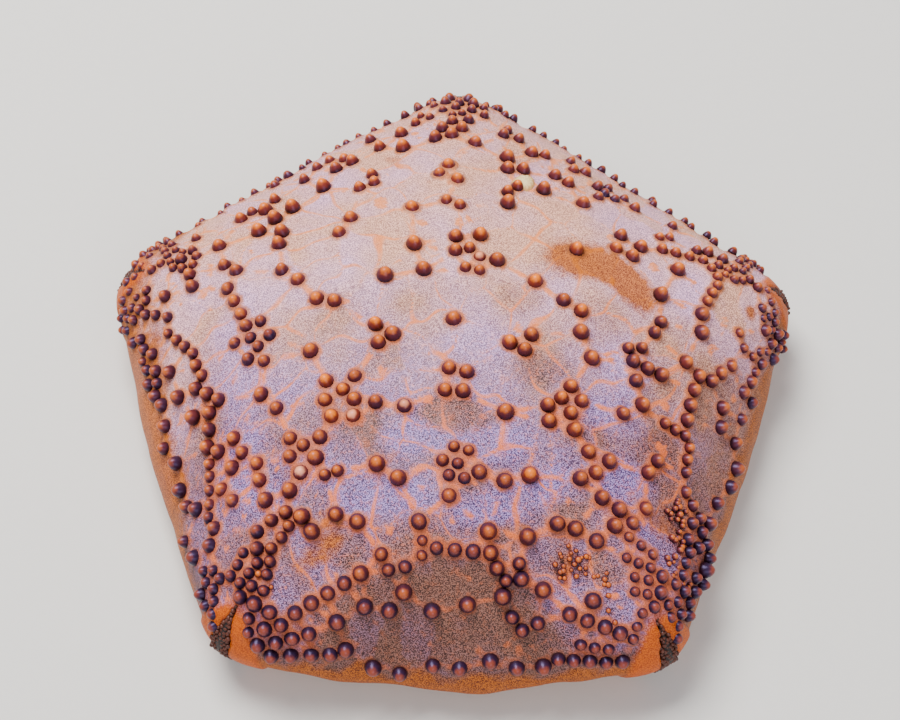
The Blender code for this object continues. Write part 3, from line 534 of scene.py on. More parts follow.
def joined_rings(sizes, first, last):
    """Faces between rings whose sizes stay, double or halve, closed on the points first and last."""
    starts = np.concatenate([[0], np.cumsum(sizes)]).tolist()
    faces = [(first, k, (k + 1) % sizes[0]) for k in range(sizes[0])]
    for ring in range(len(sizes) - 1):
        size, next_size = sizes[ring], sizes[ring + 1]
        here, there = starts[ring], starts[ring + 1]
        for k in range(min(size, next_size)):
            if size == next_size:
                n = (k + 1) % size
                faces.append((here + k, there + k, there + n, here + n))
            elif next_size > size:
                n, j = (k + 1) % size, (2 * k + 2) % next_size
                faces.append((here + k, there + 2 * k, there + 2 * k + 1))
                faces.append((here + k, there + 2 * k + 1, there + j, here + n))
            else:
                n, j = (k + 1) % next_size, (2 * k + 2) % size
                faces.append((here + 2 * k, there + k, here + 2 * k + 1))
                faces.append((here + 2 * k + 1, there + k, there + n, here + j))
    end = starts[-2]
    faces += [(last, end + (k + 1) % sizes[-1], end + k) for k in range(sizes[-1])]
    return faces


LIPS_START, LIPS_LENGTH = -0.18, 1.24  # the smooth lips form a lens up the tip, in shares of the climb
REAR_LIPS = 0.5  # how much narrower they are at the rear
INNER_LIPS = 0.2  # and how much wider on the front arms' inner sides
GROOVE_FADE, LIPS_FADE = (-0.7, 0.3), (-0.9, 0.3)  # millimetres past their edges, where they end


def furrow_width(climb):
    """Half the furrow's width: even below the foot (climb 0), closing to a point at its top (climb 1)."""
    return FURROW_HALF_WIDTH * (1 - 0.35 * step_up(climb, 0.0, 0.3)) * (1 - step_up(climb, 0.6, 1.0)) ** 0.7


def within(across, edge, fade):
    """1 within an edge, falling to 0 just past it."""
    return 1 - step_up(across, edge + fade[0], edge + fade[1])


def furrow_masks(points, under):
    """(how deep in a furrow, how far onto its smooth lips) for each point, from 0 to 1."""
    across = beside_arm(points)
    climb = points[:, 2] / FURROW_CLIMB
    at_tip = (outward_from_axis(points) > TIP_FACE) & ~under & (climb < 1.1)
    width = np.where(under, FURROW_HALF_WIDTH, furrow_width(climb))
    deep = np.where(under | (at_tip & (climb < 1)), within(across, width, GROOVE_FADE), 0)
    lens = np.sqrt(np.sin(np.pi * np.clip((climb - LIPS_START) / LIPS_LENGTH, 0, 1)))
    rear = step_up(points[:, 1], 40, 80)
    inner = step_up(-points[:, 1] * math.tan(HALF_SIDE) - np.abs(points[:, 0]), -2, 2)
    edge = width + LIP_WIDTH * lens * (1 - REAR_LIPS * rear + INNER_LIPS * inner)
    lips = np.where(at_tip, within(across, edge, LIPS_FADE) * (1 - deep), 0)
    return deep, lips * np.minimum(lens * 2, 1)


# ---------------------------------------------------------------- markings, as soft ovals over the skin
# Each is (x, y, width, depth, turn, strength), in the tubercles' millimetres.

BROWN_PATCHES = (
    (0, -28, 13, 7, 0, 0.9), (19, 11, 9, 7, 20, 0.5), (25, -12, 10, 8, 0, 0.6), (36, -30, 8, 7, 0, 0.4),
    (60, -35, 9, 10, 0, 0.4), (-20, -8, 9, 6, 0, 0.35), (-33, 4, 10, 8, 30, 0.3), (-26, -33, 8, 6, 0, 0.4),
    (-10, -75, 20, 9, 0, 0.5), (12, -77, 22, 9, 0, 0.5), (-28, -66, 9, 8, 0, 0.4), (28, 24, 9, 9, 0, 0.5),
    (-16, 8, 9, 8, 0, 0.2), (-5, -66, 9, 5, 0, 0.3), (14, -60, 7, 5, 0, 0.3), (-9, 12, 12, 10, 0, 0.25),
    (-37, 40, 12, 9, -30, 0.3), (8, 12, 10, 8, 0, 0.2), (43, 8, 8, 7, 0, 0.3), (30, -56, 6, 6, 0, 0.3),
)
LILAC_PATCHES = (
    (-60, -20, 9, 26, 0, 0.6), (50, -8, 9, 12, 0, 0.6), (-10, -35, 12, 6, 0, 0.8), (12, -37, 10, 7, 0, 0.9),
    (-15, -52, 12, 7, 0, 0.7), (10, -55, 12, 6, 0, 0.8), (-55, -48, 6, 8, 0, 0.5), (47, -44, 8, 8, 0, 0.7),
    (-40, 14, 12, 12, 0, 0.4), (5, -5, 14, 6, 0, 0.5), (70, 20, 7, 12, 0, 0.6), (-64, 6, 8, 14, 0, 0.5),
    (24, -48, 9, 7, 0, 0.6), (0, -72, 11, 5, 0, 0.5), (-14, 20, 9, 8, 0, 0.2), (35, -8, 8, 6, 0, 0.3),
    (-32, -46, 9, 6, 0, 0.5), (44, 20, 6, 6, 0, 0.2), (60, 28, 8, 8, 0, 0.3), (48, -26, 9, 6, 0, 0.4),
    (32, -47, 7, 6, 0, 0.5), (-74, 18, 8, 10, 0, 0.4), (-27, -51, 8, 7, 0, 0.3), (56, -42, 7, 6, 0, 0.3),
)
ORANGE_PATCHES = (
    (40, 26, 17, 9, -12, 0.95), (52, 18, 12, 7, -45, 1.05), (33, 24, 10, 8, 0, 0.4), (-20, 68, 3, 6, 35, 0.5),
    (7, 32, 4, 3, 0, 0.35), (-33, -60, 6, 7, 60, 0.55), (-36, -68, 10, 4, 30, 0.7), (-44, -46, 5, 4, 0, 0.3),
    (60, -55, 6, 5, 0, 0.5), (34, -69, 8, 5, 0, 0.4), (67, -59, 4, 12, 0, 0.35), (39, -5, 3, 9, 30, 0.35),
    (-30, -25, 9, 6, 0, 0.3), (30, -44, 7, 4, 0, 0.1), (-6, -57, 12, 2.5, 0, 0.35), (20, -60, 8, 3, 0, 0.35),
    (23, 70, 9, 5, -20, 0.25), (-28, 46, 5, 5, 0, 0.15), (90, 20, 3, 3, 0, 0.9), (6, 66, 5, 4, 0, 0.15),
)


# How the markings spread. Most pairs are where a thing begins, in millimetres, and where it is whole.

FIELD_EDGE_ASTRAY = 1.2
FRONT = (-40, 55)  # over the skin towards the front, where colours deepen
HANDS = (66, 90)  # from the middle to the left and the right
# Steep sides that face away from the light overhead take the darker wall colour: partly the walls' own brown,
# partly painted shade.
SHADED_WALL_NORMALS = (0.42, 0.82)  # how far upwards a wall's skin faces, and the back's
LEFT_CALM = 0.75  # how much less of a wall the pale left one is
FRONT_WALL, FRONT_WALL_CURVE = (61, 72), 0.018
RIGHT_WALL, RIGHT_WALL_REAR = (66, 76), (-6, 12)
STEEP_SHARE, FRONT_SHARE, RIGHT_SHARE = 0.8, 0.75, 0.45  # how strongly each counts as a wall
LINE_WIDTH, LINE_CHANGE = 0.15, 0.25  # of the network's thin lines
GLOW_FADE, GLOW, GLOW_FRONT = (0.4, 2.8), 0.10, 0.14  # the network's colour beside its lines
HALO, HALO_FADE, HALO_CHANGE = 0.8, (0.2, 1.0), 0.6  # round each tubercle's foot
LINK, LINK_HALF_WIDTH, LINK_GAP = 0.9, (0.2, 1.05), (8, 13)  # bands between neighbouring tubercles
TONE, TONE_OF_FIELD, TONE_CHANGE, TONE_FRONT = 0.66, 0.3, 0.15, -0.12  # 0 is lilac, 1 brown
TONE_WALLS = (0.6, 0.3)  # browner on the right wall and on the front one
# The paleness towards the rear is partly the back's own colour and partly a painted sky sheen on slopes seen
# at a glancing angle.
PALE, PALE_AND_SHEEN_REAR, PALE_FADE = 0.16, 0.84, (-50, 50)  # the back grows paler towards the rear
PALE_LEFT, PALE_RIGHT_WALL, PALE_FRONT_WALL, PALE_BROWN = 0.5, 0.2, -0.5, -0.4
BAND_EDGE, BAND_WANDER = (13.0, 21.0), 2.2  # heights over which the foot's orange band fades
BAND_LEFT, BAND_RIGHT = (8, 16), (4, 4)  # how much higher there
# The skin round each tubercle's foot is painted darker: a painted shade where the skin meets the tubercle.
FOOT_SHADE_FADE = 1.1  # round each tubercle


def patches(plan, table):
    """The sum of a table's ovals."""
    total = 0
    for x, y, width, depth, turn, strength in table:
        total = total + strength * near(plan, x, y, width, depth, turn)
    return total


def network_marks(plan, studs, widths, edge, front):
    """(how much of the network's colour a point has, its distance to the nearest tubercle's foot)."""
    foot, next_foot, gap = to_nearest_feet(plan, studs, widths)
    glow = (1 - step_up(edge, *GLOW_FADE)) * (GLOW + GLOW_FRONT * front)
    start, end = HALO_FADE
    halo = HALO * (1 - step_up(foot, start, end + HALO_CHANGE * wander(plan, 11, SEED + 3)))
    band_half_width = np.sqrt(np.maximum(foot + next_foot - gap, 0) * np.maximum(gap, 0.5) / 2)
    link = LINK * (1 - step_up(band_half_width, *LINK_HALF_WIDTH)) * (1 - step_up(gap, *LINK_GAP))
    return np.max([glow, halo, link], axis=0), foot


def skin_marks(points, normals, plan, under, field_pitch):
    """What the skin's relief and colours follow: one value for each point under each name."""
    studs, widths = tubercles()[:2]
    centres = field_centres(studs, field_pitch)
    astray = np.stack([wander(plan, 11, SEED + 20), wander(plan, 11, SEED + 21)], axis=-1)
    edge, field = to_field_edge(plan + FIELD_EDGE_ASTRAY * astray, centres)
    deep, lips = furrow_masks(points, under)
    chance = np.random.default_rng(SEED + 1)
    own_tone = chance.uniform(-1, 1, len(centres))[field]
    own_width = chance.uniform(0, 1, len(centres))[field]
    x, y = plan[:, 0], plan[:, 1]
    front = step_up(-y, *FRONT)
    left, right = (step_up(hand * points[:, 0], *HANDS) for hand in (-1, 1))
    # darker on steep sides: partly the walls' own brown, partly painted shade
    steep_shade = (1 - step_up(normals[:, 2], *SHADED_WALL_NORMALS)) * (1 - LEFT_CALM * left)
    front_wall = step_up(-y - FRONT_WALL_CURVE * x**2, *FRONT_WALL)
    right_wall = step_up(x, *RIGHT_WALL) * (1 - step_up(y, *RIGHT_WALL_REAR))
    wall = np.max([STEEP_SHARE * steep_shade, FRONT_SHARE * front_wall, RIGHT_SHARE * right_wall], axis=0)
    line_width = LINE_WIDTH + LINE_CHANGE * own_width + LINE_CHANGE * wander(plan, 17, SEED + 2)
    net, foot = network_marks(plan, studs, widths, edge, front)
    brown = patches(plan, BROWN_PATCHES)
    tone = TONE + TONE_OF_FIELD * own_tone + TONE_CHANGE * wander(plan, 34, SEED + 4) + TONE_FRONT * front
    tone = tone + brown - patches(plan, LILAC_PATCHES)
    tone = tone + TONE_WALLS[0] * right_wall + TONE_WALLS[1] * front_wall
    # paler towards the rear: partly own colour, partly painted sky sheen
    pale = PALE + PALE_AND_SHEEN_REAR * step_up(y, *PALE_FADE) + PALE_LEFT * left + PALE_RIGHT_WALL * right_wall
    pale = pale + PALE_FRONT_WALL * front_wall + PALE_BROWN * np.clip(brown, 0, 1)
    low, high = (BAND_EDGE[k] + BAND_LEFT[k] * left + BAND_RIGHT[k] * right for k in (0, 1))
    band = 1 - step_up(points[:, 2] + BAND_WANDER * wander(plan, 19, SEED + 5), low, high)
    return {
        "net": np.clip(net * (1 - 0.7 * wall), 0, 1) * (1 - lips),
        "line": edge - line_width + 3 * lips + 1.5 * wall,
        "tone": np.clip(tone, 0, 1),
        "pale": np.clip(pale, 0, 1) * (1 - 0.6 * wall * (1 - left)),
        "orange": np.clip(np.maximum(patches(plan, ORANGE_PATCHES), band), 0, 1) * (1 - under),
        "lips": lips,
        "wall": wall,
        "oral": under * 1.0,
        "deep": deep,
        # painted shade round each tubercle's foot
        "foot": np.clip(1 - foot / FOOT_SHADE_FADE, 0, 1),
    }


RELIEF = {"net": 0.30, "foot": 0.45, "lips": 0.9, "wall": -0.35}  # how far each mark raises the skin
SWELLS = ((0.55, 42), (0.22, 15))  # height and pitch of its gentle swells
GROOVE_DEPTH = 2.2  # on the tips
EVEN_FOOT = 5  # below this height the skin runs evenly to the floor


def relief(marks, plan, points, under):
    """How far the skin stands off its plain form, in millimetres."""
    raised = sum(height * marks[name] for name, height in RELIEF.items())
    for step, (height, pitch) in enumerate(SWELLS):
        raised = raised + height * wander(plan, pitch, SEED + 6 + step)
    raised = raised * step_up(points[:, 2], 0, EVEN_FOOT) - GROOVE_DEPTH * marks["deep"]
    sole = -SOLE_LIFT - (FURROW_DEPTH - SOLE_LIFT) * marks["deep"]
    return np.where(under, sole, raised)


# ---------------------------------------------------------------- nodes, meshes and pieces


def linear(code):
    """An sRGB hex colour as linear red, green and blue."""
    parts = [int(code[k:k + 2], 16) / 255 for k in (1, 3, 5)]
    return tuple(c / 12.92 if c <= 0.04045 else ((c + 0.055) / 1.055) ** 2.4 for c in parts)


def add(tree, kind, inputs=None, out=0, **settings):
    """The chosen output of a new node; inputs gives its sockets values or what feeds them."""
    node = tree.nodes.new(kind)
    for name, value in settings.items():
        setattr(node, name, value)
    for label, value in (inputs or {}).items():
        socket = node.inputs[label]
        if isinstance(value, bpy.types.NodeSocket):
            tree.links.new(value, socket)
        elif socket.type == "RGBA":
            socket.default_value = (*value, 1)
        else:
            socket.default_value = value
    return node.outputs[out] if node.outputs else None


def new_finish(name, **sockets):
    """(material, tree, Principled shader) with plain numbers on the shader's own sockets."""
    material = bpy.data.materials.new(name)
    material.use_nodes = True
    tree = material.node_tree
    shader = tree.nodes["Principled BSDF"]
    for socket, value in sockets.items():
        shader.inputs[socket.replace("_", " ")].default_value = value
    return material, tree, shader


def in_metres(points):
    return CENTRE + np.asarray(points, float) * MM


def mesh_of(name, points, faces=(), edges=(), **marks):
    """A mesh in metres from millimetre points, with a float or vector attribute for each mark."""
    mesh = bpy.data.meshes.new(name)
    mesh.from_pydata(in_metres(points).tolist(), edges, faces)
    for label, values in marks.items():
        values = np.asarray(values, np.float32)
        kind, field = ("FLOAT_VECTOR", "vector") if values.ndim == 2 else ("FLOAT", "value")
        mesh.attributes.new(label, kind, "POINT").data.foreach_set(field, values.ravel())
    if faces:
        mesh.shade_smooth()
    return mesh


def finished(name, mesh, material=None, nodes=()):
    """A piece of the star: it rides on the one body and stands for the given solids."""
    piece = bpy.data.objects.new(name, mesh)
    bpy.context.scene.collection.objects.link(piece)
    if material:
        mesh.materials.append(material)
    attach(piece, "root")
    if nodes:
        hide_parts(*nodes)
    return piece


def loft(rings, first, last):
    """(points, faces) of a closed form through rings of points that all have one size."""
    points = np.concatenate([*rings, [first, last]])
    count = len(points)
    return points, joined_rings([len(ring) for ring in rings], count - 2, count - 1)


def joined(forms):
    """(points, faces) of several forms as one."""
    points, faces = [], []
    for more, corners in forms:
        faces += [tuple(corner + len(points) for corner in face) for face in corners]
        points += list(more)
    return points, faces


def circle(radius, height, turns):
    return np.stack([radius * np.cos(turns), radius * np.sin(turns), 0 * turns + height], axis=-1)


def out_and_aside(angle):
    """Level unit vectors at an azimuth: out from the axis, and anticlockwise across it."""
    return np.array([math.cos(angle), math.sin(angle), 0]), np.array([-math.sin(angle), math.cos(angle), 0])


def turn_outwards(mesh):
    """Recalculates the normals of closed forms."""
    work = bmesh.new()
    work.from_mesh(mesh)
    bmesh.ops.recalc_face_normals(work, faces=work.faces)
    work.to_mesh(mesh)
    work.free()


def template(name, profile, sides):
    """A small shape to repeat: the profile's (radius, height) turned round Z, its height kept as `rise`."""
    turns = 2 * np.pi * np.arange(sides) / sides
    rings = [[(r * math.cos(t), r * math.sin(t), h) for t in turns] for r, h in profile[-2:0:-1]]
    points, faces = loft(rings, (0, 0, profile[-1][1]), (0, 0, profile[0][1]))
    mesh = bpy.data.meshes.new(name)
    mesh.from_pydata(points.tolist(), [], faces)
    rise = np.clip(points[:, 2], 0, 1).astype(np.float32)
    mesh.attributes.new("rise", "FLOAT", "POINT").data.foreach_set("value", rise)
    mesh.shade_smooth()
    return bpy.data.objects.new(name, mesh)


# ---------------------------------------------------------------- Geometry Nodes


def growth_tree(name, in_rows):
    """A tree that stands a shape on each point, or at even steps along each line, turned to the point's `up`.

    Each copy is as wide as the point's `width` and as tall as its `tall`, and leans and swells at random.
    """
    tree = bpy.data.node_groups.new(name, "GeometryNodeTree")
    sockets = {
        "Geometry": "Geometry", "Shape": "Object", "Finish": "Material", "Spacing": "Float", "Lean": "Float",
        "Swelling": "Float", "Seed": "Int",
    }
    for label, kind in sockets.items():
        tree.interface.new_socket(label, in_out="INPUT", socket_type=f"NodeSocket{kind}")
    tree.interface.new_socket("Geometry", in_out="OUTPUT", socket_type="NodeSocketGeometry")
    entry = tree.nodes.new("NodeGroupInput")
    given = {label: entry.outputs[label] for label in sockets}
    points = given["Geometry"]
    if in_rows:
        lines = add(tree, "GeometryNodeMeshToCurve", {"Mesh": points})
        even = {"Curve": lines, "Length": given["Spacing"]}
        points = add(tree, "GeometryNodeResampleCurve", even, mode="LENGTH")
    named = {
        label: add(tree, "GeometryNodeInputNamedAttribute", {"Name": label}, data_type=kind)
        for label, kind in (("up", "FLOAT_VECTOR"), ("width", "FLOAT"), ("tall", "FLOAT"))
    }
    swelling, lean = given["Swelling"], given["Lean"]
    less, more, back = (
        add(tree, "ShaderNodeMath", {0: first, 1: second}, operation=operation)
        for operation, first, second in (
            ("SUBTRACT", 1, swelling), ("ADD", 1, swelling), ("MULTIPLY", lean, -1))
    )
    ranges = {  # what varies from copy to copy: kind of number, sockets of its range and result, least, most
        "lean": ("FLOAT_VECTOR", 0, 1, 0, back, lean),
        "spin": ("FLOAT", 2, 3, 1, 0.0, 2 * math.pi),
        **{axis: ("FLOAT", 2, 3, 1, less, more) for axis in "XYZ"},
    }
    random = {}
    for step, (label, (kind, low, high, out, least, most)) in enumerate(ranges.items()):
        seed = add(tree, "ShaderNodeMath", {0: given["Seed"], 1: step}, operation="ADD")
        span = {low: least, high: most, "Seed": seed}
        random[label] = add(tree, "FunctionNodeRandomValue", span, out, data_type=kind)
    up = add(tree, "ShaderNodeVectorMath", {0: named["up"], 1: random["lean"]}, operation="ADD")
    standing = add(tree, "FunctionNodeAlignRotationToVector", {"Vector": up}, axis="Z")
    spin = add(tree, "FunctionNodeAxisAngleToRotation", {"Axis": (0, 0, 1), "Angle": random["spin"]})
    turn = {"Rotation": standing, "Rotate By": spin}
    rotation = add(tree, "FunctionNodeRotateRotation", turn, rotation_space="LOCAL")
    sizes = {
        axis: add(tree, "ShaderNodeMath", {0: named[size], 1: random[axis]}, operation="MULTIPLY")
        for axis, size in (("X", "width"), ("Y", "width"), ("Z", "tall"))
    }
    scale = add(tree, "ShaderNodeCombineXYZ", sizes)
    shape = add(tree, "GeometryNodeObjectInfo", {"Object": given["Shape"]}, "Geometry")
    copies = {"Points": points, "Instance": shape, "Rotation": rotation, "Scale": scale}
    stood = add(tree, "GeometryNodeInstanceOnPoints", copies)
    joined = add(tree, "GeometryNodeRealizeInstances", {"Geometry": stood})
    done = add(tree, "GeometryNodeSetMaterial", {"Geometry": joined, "Material": given["Finish"]})
    add(tree, "NodeGroupOutput", {"Geometry": done})
    return tree


def growth_places(name, points, ups, width, tall, tint=0.5, edges=(), **marks):
    """Points or lines for growth_tree, with the copies' sizes in millimetres and what their finish reads."""
    each = np.ones(len(points))
    size = {"width": width * each * MM, "tall": tall * each * MM}
    return mesh_of(f"{name}_places", points, (), edges, up=ups, tint=tint * each, **size, **marks)


def grown(name, places, shape, material, in_rows=False, spacing=1.0, lean=0.08, swelling=0.06):
    """The piece that growth_tree makes from a mesh of points or lines, as a plain mesh."""
    scene = bpy.context.scene
    holder = bpy.data.objects.new(places.name, places)
    for part in (holder, shape):
        scene.collection.objects.link(part)
    tree = growth_tree(f"{name}_growth", in_rows)
    modifier = holder.modifiers.new("growth", "NODES")
    modifier.node_group = tree
    values = {
        "Shape": shape, "Finish": material, "Spacing": spacing * MM, "Lean": lean, "Swelling": swelling,
        "Seed": SEED,
    }
    for item in tree.interface.items_tree:
        if item.in_out == "INPUT" and item.name in values:
            modifier[item.identifier] = values[item.name]
    graph = bpy.context.evaluated_depsgraph_get()
    mesh = bpy.data.meshes.new_from_object(holder.evaluated_get(graph))
    mesh.name = name
    holder.modifiers.remove(modifier)
    for part in (holder, shape):
        bpy.data.objects.remove(part)
    for label in ("up", "width", "tall"):
        if label in mesh.attributes:
            mesh.attributes.remove(mesh.attributes[label])
    if not mesh.polygons:
        raise RuntimeError(f"{name}: nothing grew on its {len(places.vertices)} places")
    return finished(name, mesh)


# ---------------------------------------------------------------- finishes


def skin_finish(s):
    """Living sea-star skin: a thin damp cuticle over limy grains, so it is finely grained with a soft shine.

    Pale grains wind between dark pores, the papulae. Real ones are 0.3 mm apart; they are drawn at
    grain_pitch, the finest that shows. Flecks of the network's colour lie scattered among them. The mark
    `line` is the distance in millimetres past the edge of the network's thin lines.
    """
    material, tree, shader = new_finish("sea_star_skin", Roughness=0.5, Specular_IOR_Level=0.22)
    place = add(tree, "ShaderNodeTexCoord", out="Object")
    mottle, ragged, flecks, maze = (
        add(tree, "ShaderNodeTexNoise", {"Vector": place, "Scale": 1 / pitch, "Detail": detail}, "Fac")
        for pitch, detail in ((11 * MM, 3.0), (2.1 * MM, 2.0), (1.1 * MM, 1.0), (s.grain_pitch, 0.0))
    )
    marks = {
        name: add(tree, "ShaderNodeAttribute", out="Fac", attribute_name=name)
        for name in ("net", "line", "tone", "pale", "orange", "lips", "wall", "oral", "deep", "foot")
    }
    past_line = add(tree, "ShaderNodeMath", {0: ragged, 1: 1.0, 2: marks["line"]}, operation="MULTIPLY_ADD")
    fading = {"Value": past_line, "From Min": 0.35, "From Max": 0.95, "To Min": 0.8, "To Max": 0.0}
    thin_lines = add(tree, "ShaderNodeMapRange", fading)
    marks["net"] = add(tree, "ShaderNodeMath", {0: marks["net"], 1: thin_lines}, operation="MAXIMUM")
    wandering = add(tree, "ShaderNodeMath", {0: mottle, 1: 1.1, 2: -0.55}, operation="MULTIPLY_ADD")
    tone = add(tree, "ShaderNodeMath", {0: marks["tone"], 1: wandering}, operation="ADD")
    # The pale colours stand for the back's paler skin and, in part, a painted sky sheen.
    light, dark, pale, pale_sheen_lines = (
        add(tree, "ShaderNodeMix", {"Factor": tone, 6: lilac, 7: brown}, 2, data_type="RGBA")
        for lilac, brown in (
            (s.lilac, s.brown), (s.lilac_lines, s.brown_lines), (s.pale_sheen_lilac, s.pale_sheen_brown),
            (s.pale_sheen_lilac_lines, s.pale_sheen_brown_lines))
    )
    ends = {"Factor": marks["pale"], 6: s.network, 7: s.network_back_sheen}
    network = add(tree, "ShaderNodeMix", ends, 2, data_type="RGBA")
    layers = (  # mark, colour of the grains, colour between them, how much, how ragged its edge
        # wall: partly the walls' own brown, partly painted shade on steep sides
        ("pale", pale, pale_sheen_lines, 0.9, 0.3), ("wall", s.wall, s.wall_and_shade_lines, 0.8, 0.3),
        ("net", network, s.network_lines, 0.9, 1.1), ("orange", s.orange, s.orange_lines, 0.9, 0.8),
        # foot: painted shade where the skin meets each tubercle
        ("foot", s.foot, s.foot, 0.5, 0.3), ("oral", s.underside, s.underside_lines, 1, 0),
        # deep: near black inside the furrows, painted shade
        ("lips", s.lips, s.lips_low, 1, 0), ("deep", s.groove_shade, s.groove_shade, 1, 0),
    )
    few = {"Value": flecks, "From Min": 0.52, "From Max": 0.66, "To Max": 0.3}
    speck = add(tree, "ShaderNodeMapRange", few)
    light = add(tree, "ShaderNodeMix", {"Factor": speck, 6: light, 7: network}, 2, data_type="RGBA")
    for name, grains, between, amount, fray in layers:
        edge = add(tree, "ShaderNodeMath", {0: ragged, 1: fray, 2: -fray / 2}, operation="MULTIPLY_ADD")
        value = add(tree, "ShaderNodeMath", {0: marks[name], 1: edge}, operation="ADD")
        soft = 0.35 if fray else 0.0
        span = {"Value": value, "From Min": soft / 2, "From Max": 1 - soft / 2, "To Max": amount}
        share = add(tree, "ShaderNodeMapRange", span)
        light = add(tree, "ShaderNodeMix", {"Factor": share, 6: light, 7: grains}, 2, data_type="RGBA")
        dark = add(tree, "ShaderNodeMix", {"Factor": share, 6: dark, 7: between}, 2, data_type="RGBA")
    pores = {"Value": maze, "From Min": 0.56, "From Max": 0.44}
    papulae = add(tree, "ShaderNodeMapRange", pores, interpolation_type="SMOOTHSTEP")
    calm = add(tree, "ShaderNodeMath", {0: marks["pale"], 1: -0.15, 2: 1.0}, operation="MULTIPLY_ADD")
    smooth_net = add(tree, "ShaderNodeMath", {0: marks["net"], 1: -0.6, 2: 1.0}, operation="MULTIPLY_ADD")
    for quiet in (calm, smooth_net):
        papulae = add(tree, "ShaderNodeMath", {0: papulae, 1: quiet}, operation="MULTIPLY")
    skin_colour = add(tree, "ShaderNodeMix", {"Factor": papulae, 6: light, 7: dark}, 2, data_type="RGBA")
    tree.links.new(skin_colour, shader.inputs["Base Color"])
    grain = add(tree, "ShaderNodeMath", {0: papulae, 1: -1.0, 2: ragged}, operation="MULTIPLY_ADD")
    bumped = add(tree, "ShaderNodeBump", {"Height": grain, "Strength": 0.45, "Distance": 0.00010})
    tree.links.new(bumped, shader.inputs["Normal"])
    return material


def tubercle_finish(s):
    """Limy knobs under a thin skin: a satin gloss, wine-dark at the foot, warm brown at the rubbed tip."""
    material, tree, shader = new_finish("tubercle_cuticle", Roughness=0.34, Specular_IOR_Level=0.4)
    shader.inputs["Specular Tint"].default_value = (*s.sheen, 1)
    place = add(tree, "ShaderNodeTexCoord", out="Object")
    mottle = add(tree, "ShaderNodeTexNoise", {"Vector": place, "Scale": 800.0, "Detail": 2.0}, "Fac")
    rise, tint, worn = (
        add(tree, "ShaderNodeAttribute", out="Fac", attribute_name=name) for name in ("rise", "tint", "worn")
    )
    uneven = add(tree, "ShaderNodeMath", {0: mottle, 1: 0.35, 2: -0.175}, operation="MULTIPLY_ADD")
    rise = add(tree, "ShaderNodeMath", {0: rise, 1: uneven}, operation="ADD")
    body, apex = (
        add(tree, "ShaderNodeMix", {"Factor": tint, 6: low, 7: high}, 2, data_type="RGBA")
        for low, high in ((s.dark_body, s.bright_body), (s.dark_tip, s.bright_tip))
    )
    apex = add(tree, "ShaderNodeMix", {"Factor": worn, 6: apex, 7: s.worn_tip}, 2, data_type="RGBA")
    colour = s.foot
    for low, high, above in ((0.1, 0.62, body), (0.58, 1.0, apex)):
        span = {"Value": rise, "From Min": low, "From Max": high}
        share = add(tree, "ShaderNodeMapRange", span, interpolation_type="SMOOTHSTEP")
        colour = add(tree, "ShaderNodeMix", {"Factor": share, 6: colour, 7: above}, 2, data_type="RGBA")
    tree.links.new(colour, shader.inputs["Base Color"])
    bumped = add(tree, "ShaderNodeBump", {"Height": mottle, "Strength": 0.25, "Distance": 0.0002})
    tree.links.new(bumped, shader.inputs["Normal"])
    return material


def grained_finish(name, low, high, grain_pitch, roughness):
    """Soft or limy tissue in one colour family, with a fine grain: darker where its `rise` is low, at the
    foot of each copy, in hollows and deep in the mouth, which is painted shade.
    """
    material, tree, shader = new_finish(name, Roughness=roughness, Specular_IOR_Level=0.35)
    place = add(tree, "ShaderNodeTexCoord", out="Object")
    grain = {"Vector": place, "Scale": 1 / grain_pitch, "Detail": 3.0}
    value = speckle = add(tree, "ShaderNodeTexNoise", grain, "Fac")
    # rise darkens feet, hollows and recesses as painted shade; tint is each copy's own colour
    for mark, amount in (("rise", 1.0), ("tint", 0.66)):
        fac = add(tree, "ShaderNodeAttribute", out="Fac", attribute_name=mark)
        value = add(tree, "ShaderNodeMath", {0: fac, 1: amount, 2: value}, operation="MULTIPLY_ADD")
    span = {"Value": value, "From Min": 0.4, "From Max": 1.9}
    share = add(tree, "ShaderNodeMapRange", span, interpolation_type="SMOOTHSTEP")
    colour = add(tree, "ShaderNodeMix", {"Factor": share, 6: low, 7: high}, 2, data_type="RGBA")
    tree.links.new(colour, shader.inputs["Base Color"])
    bumped = add(tree, "ShaderNodeBump", {"Height": speckle, "Strength": 0.4, "Distance": 0.0002})
    tree.links.new(bumped, shader.inputs["Normal"])
    return material


# ---------------------------------------------------------------- pieces

SOLE_LIFT = 0.8  # how far the sole's skin stands off the floor, on its granules
DROP_PROFILE = (  # (radius, height) from the tip down to the root, of a tubercle one wide and one tall
    (0, 1), (0.14, 0.95), (0.26, 0.82), (0.38, 0.58), (0.46, 0.33), (0.5, 0.12), (0.48, 0.0), (0, -0.22),
)
GRAIN_PROFILE = ((0, 1), (0.3, 0.86), (0.49, 0.42), (0.46, -0.1), (0, -0.3))
SPINE_PROFILE = ((0, 1), (0.3, 0.94), (0.46, 0.7), (0.5, 0.3), (0.42, -0.1), (0, -0.2))
FOOT_PROFILE = ((0, 0.86), (0.2, 0.9), (0.5, 1.0), (0.46, 0.8), (0.26, 0.62), (0.34, 0.0), (0, -0.1))

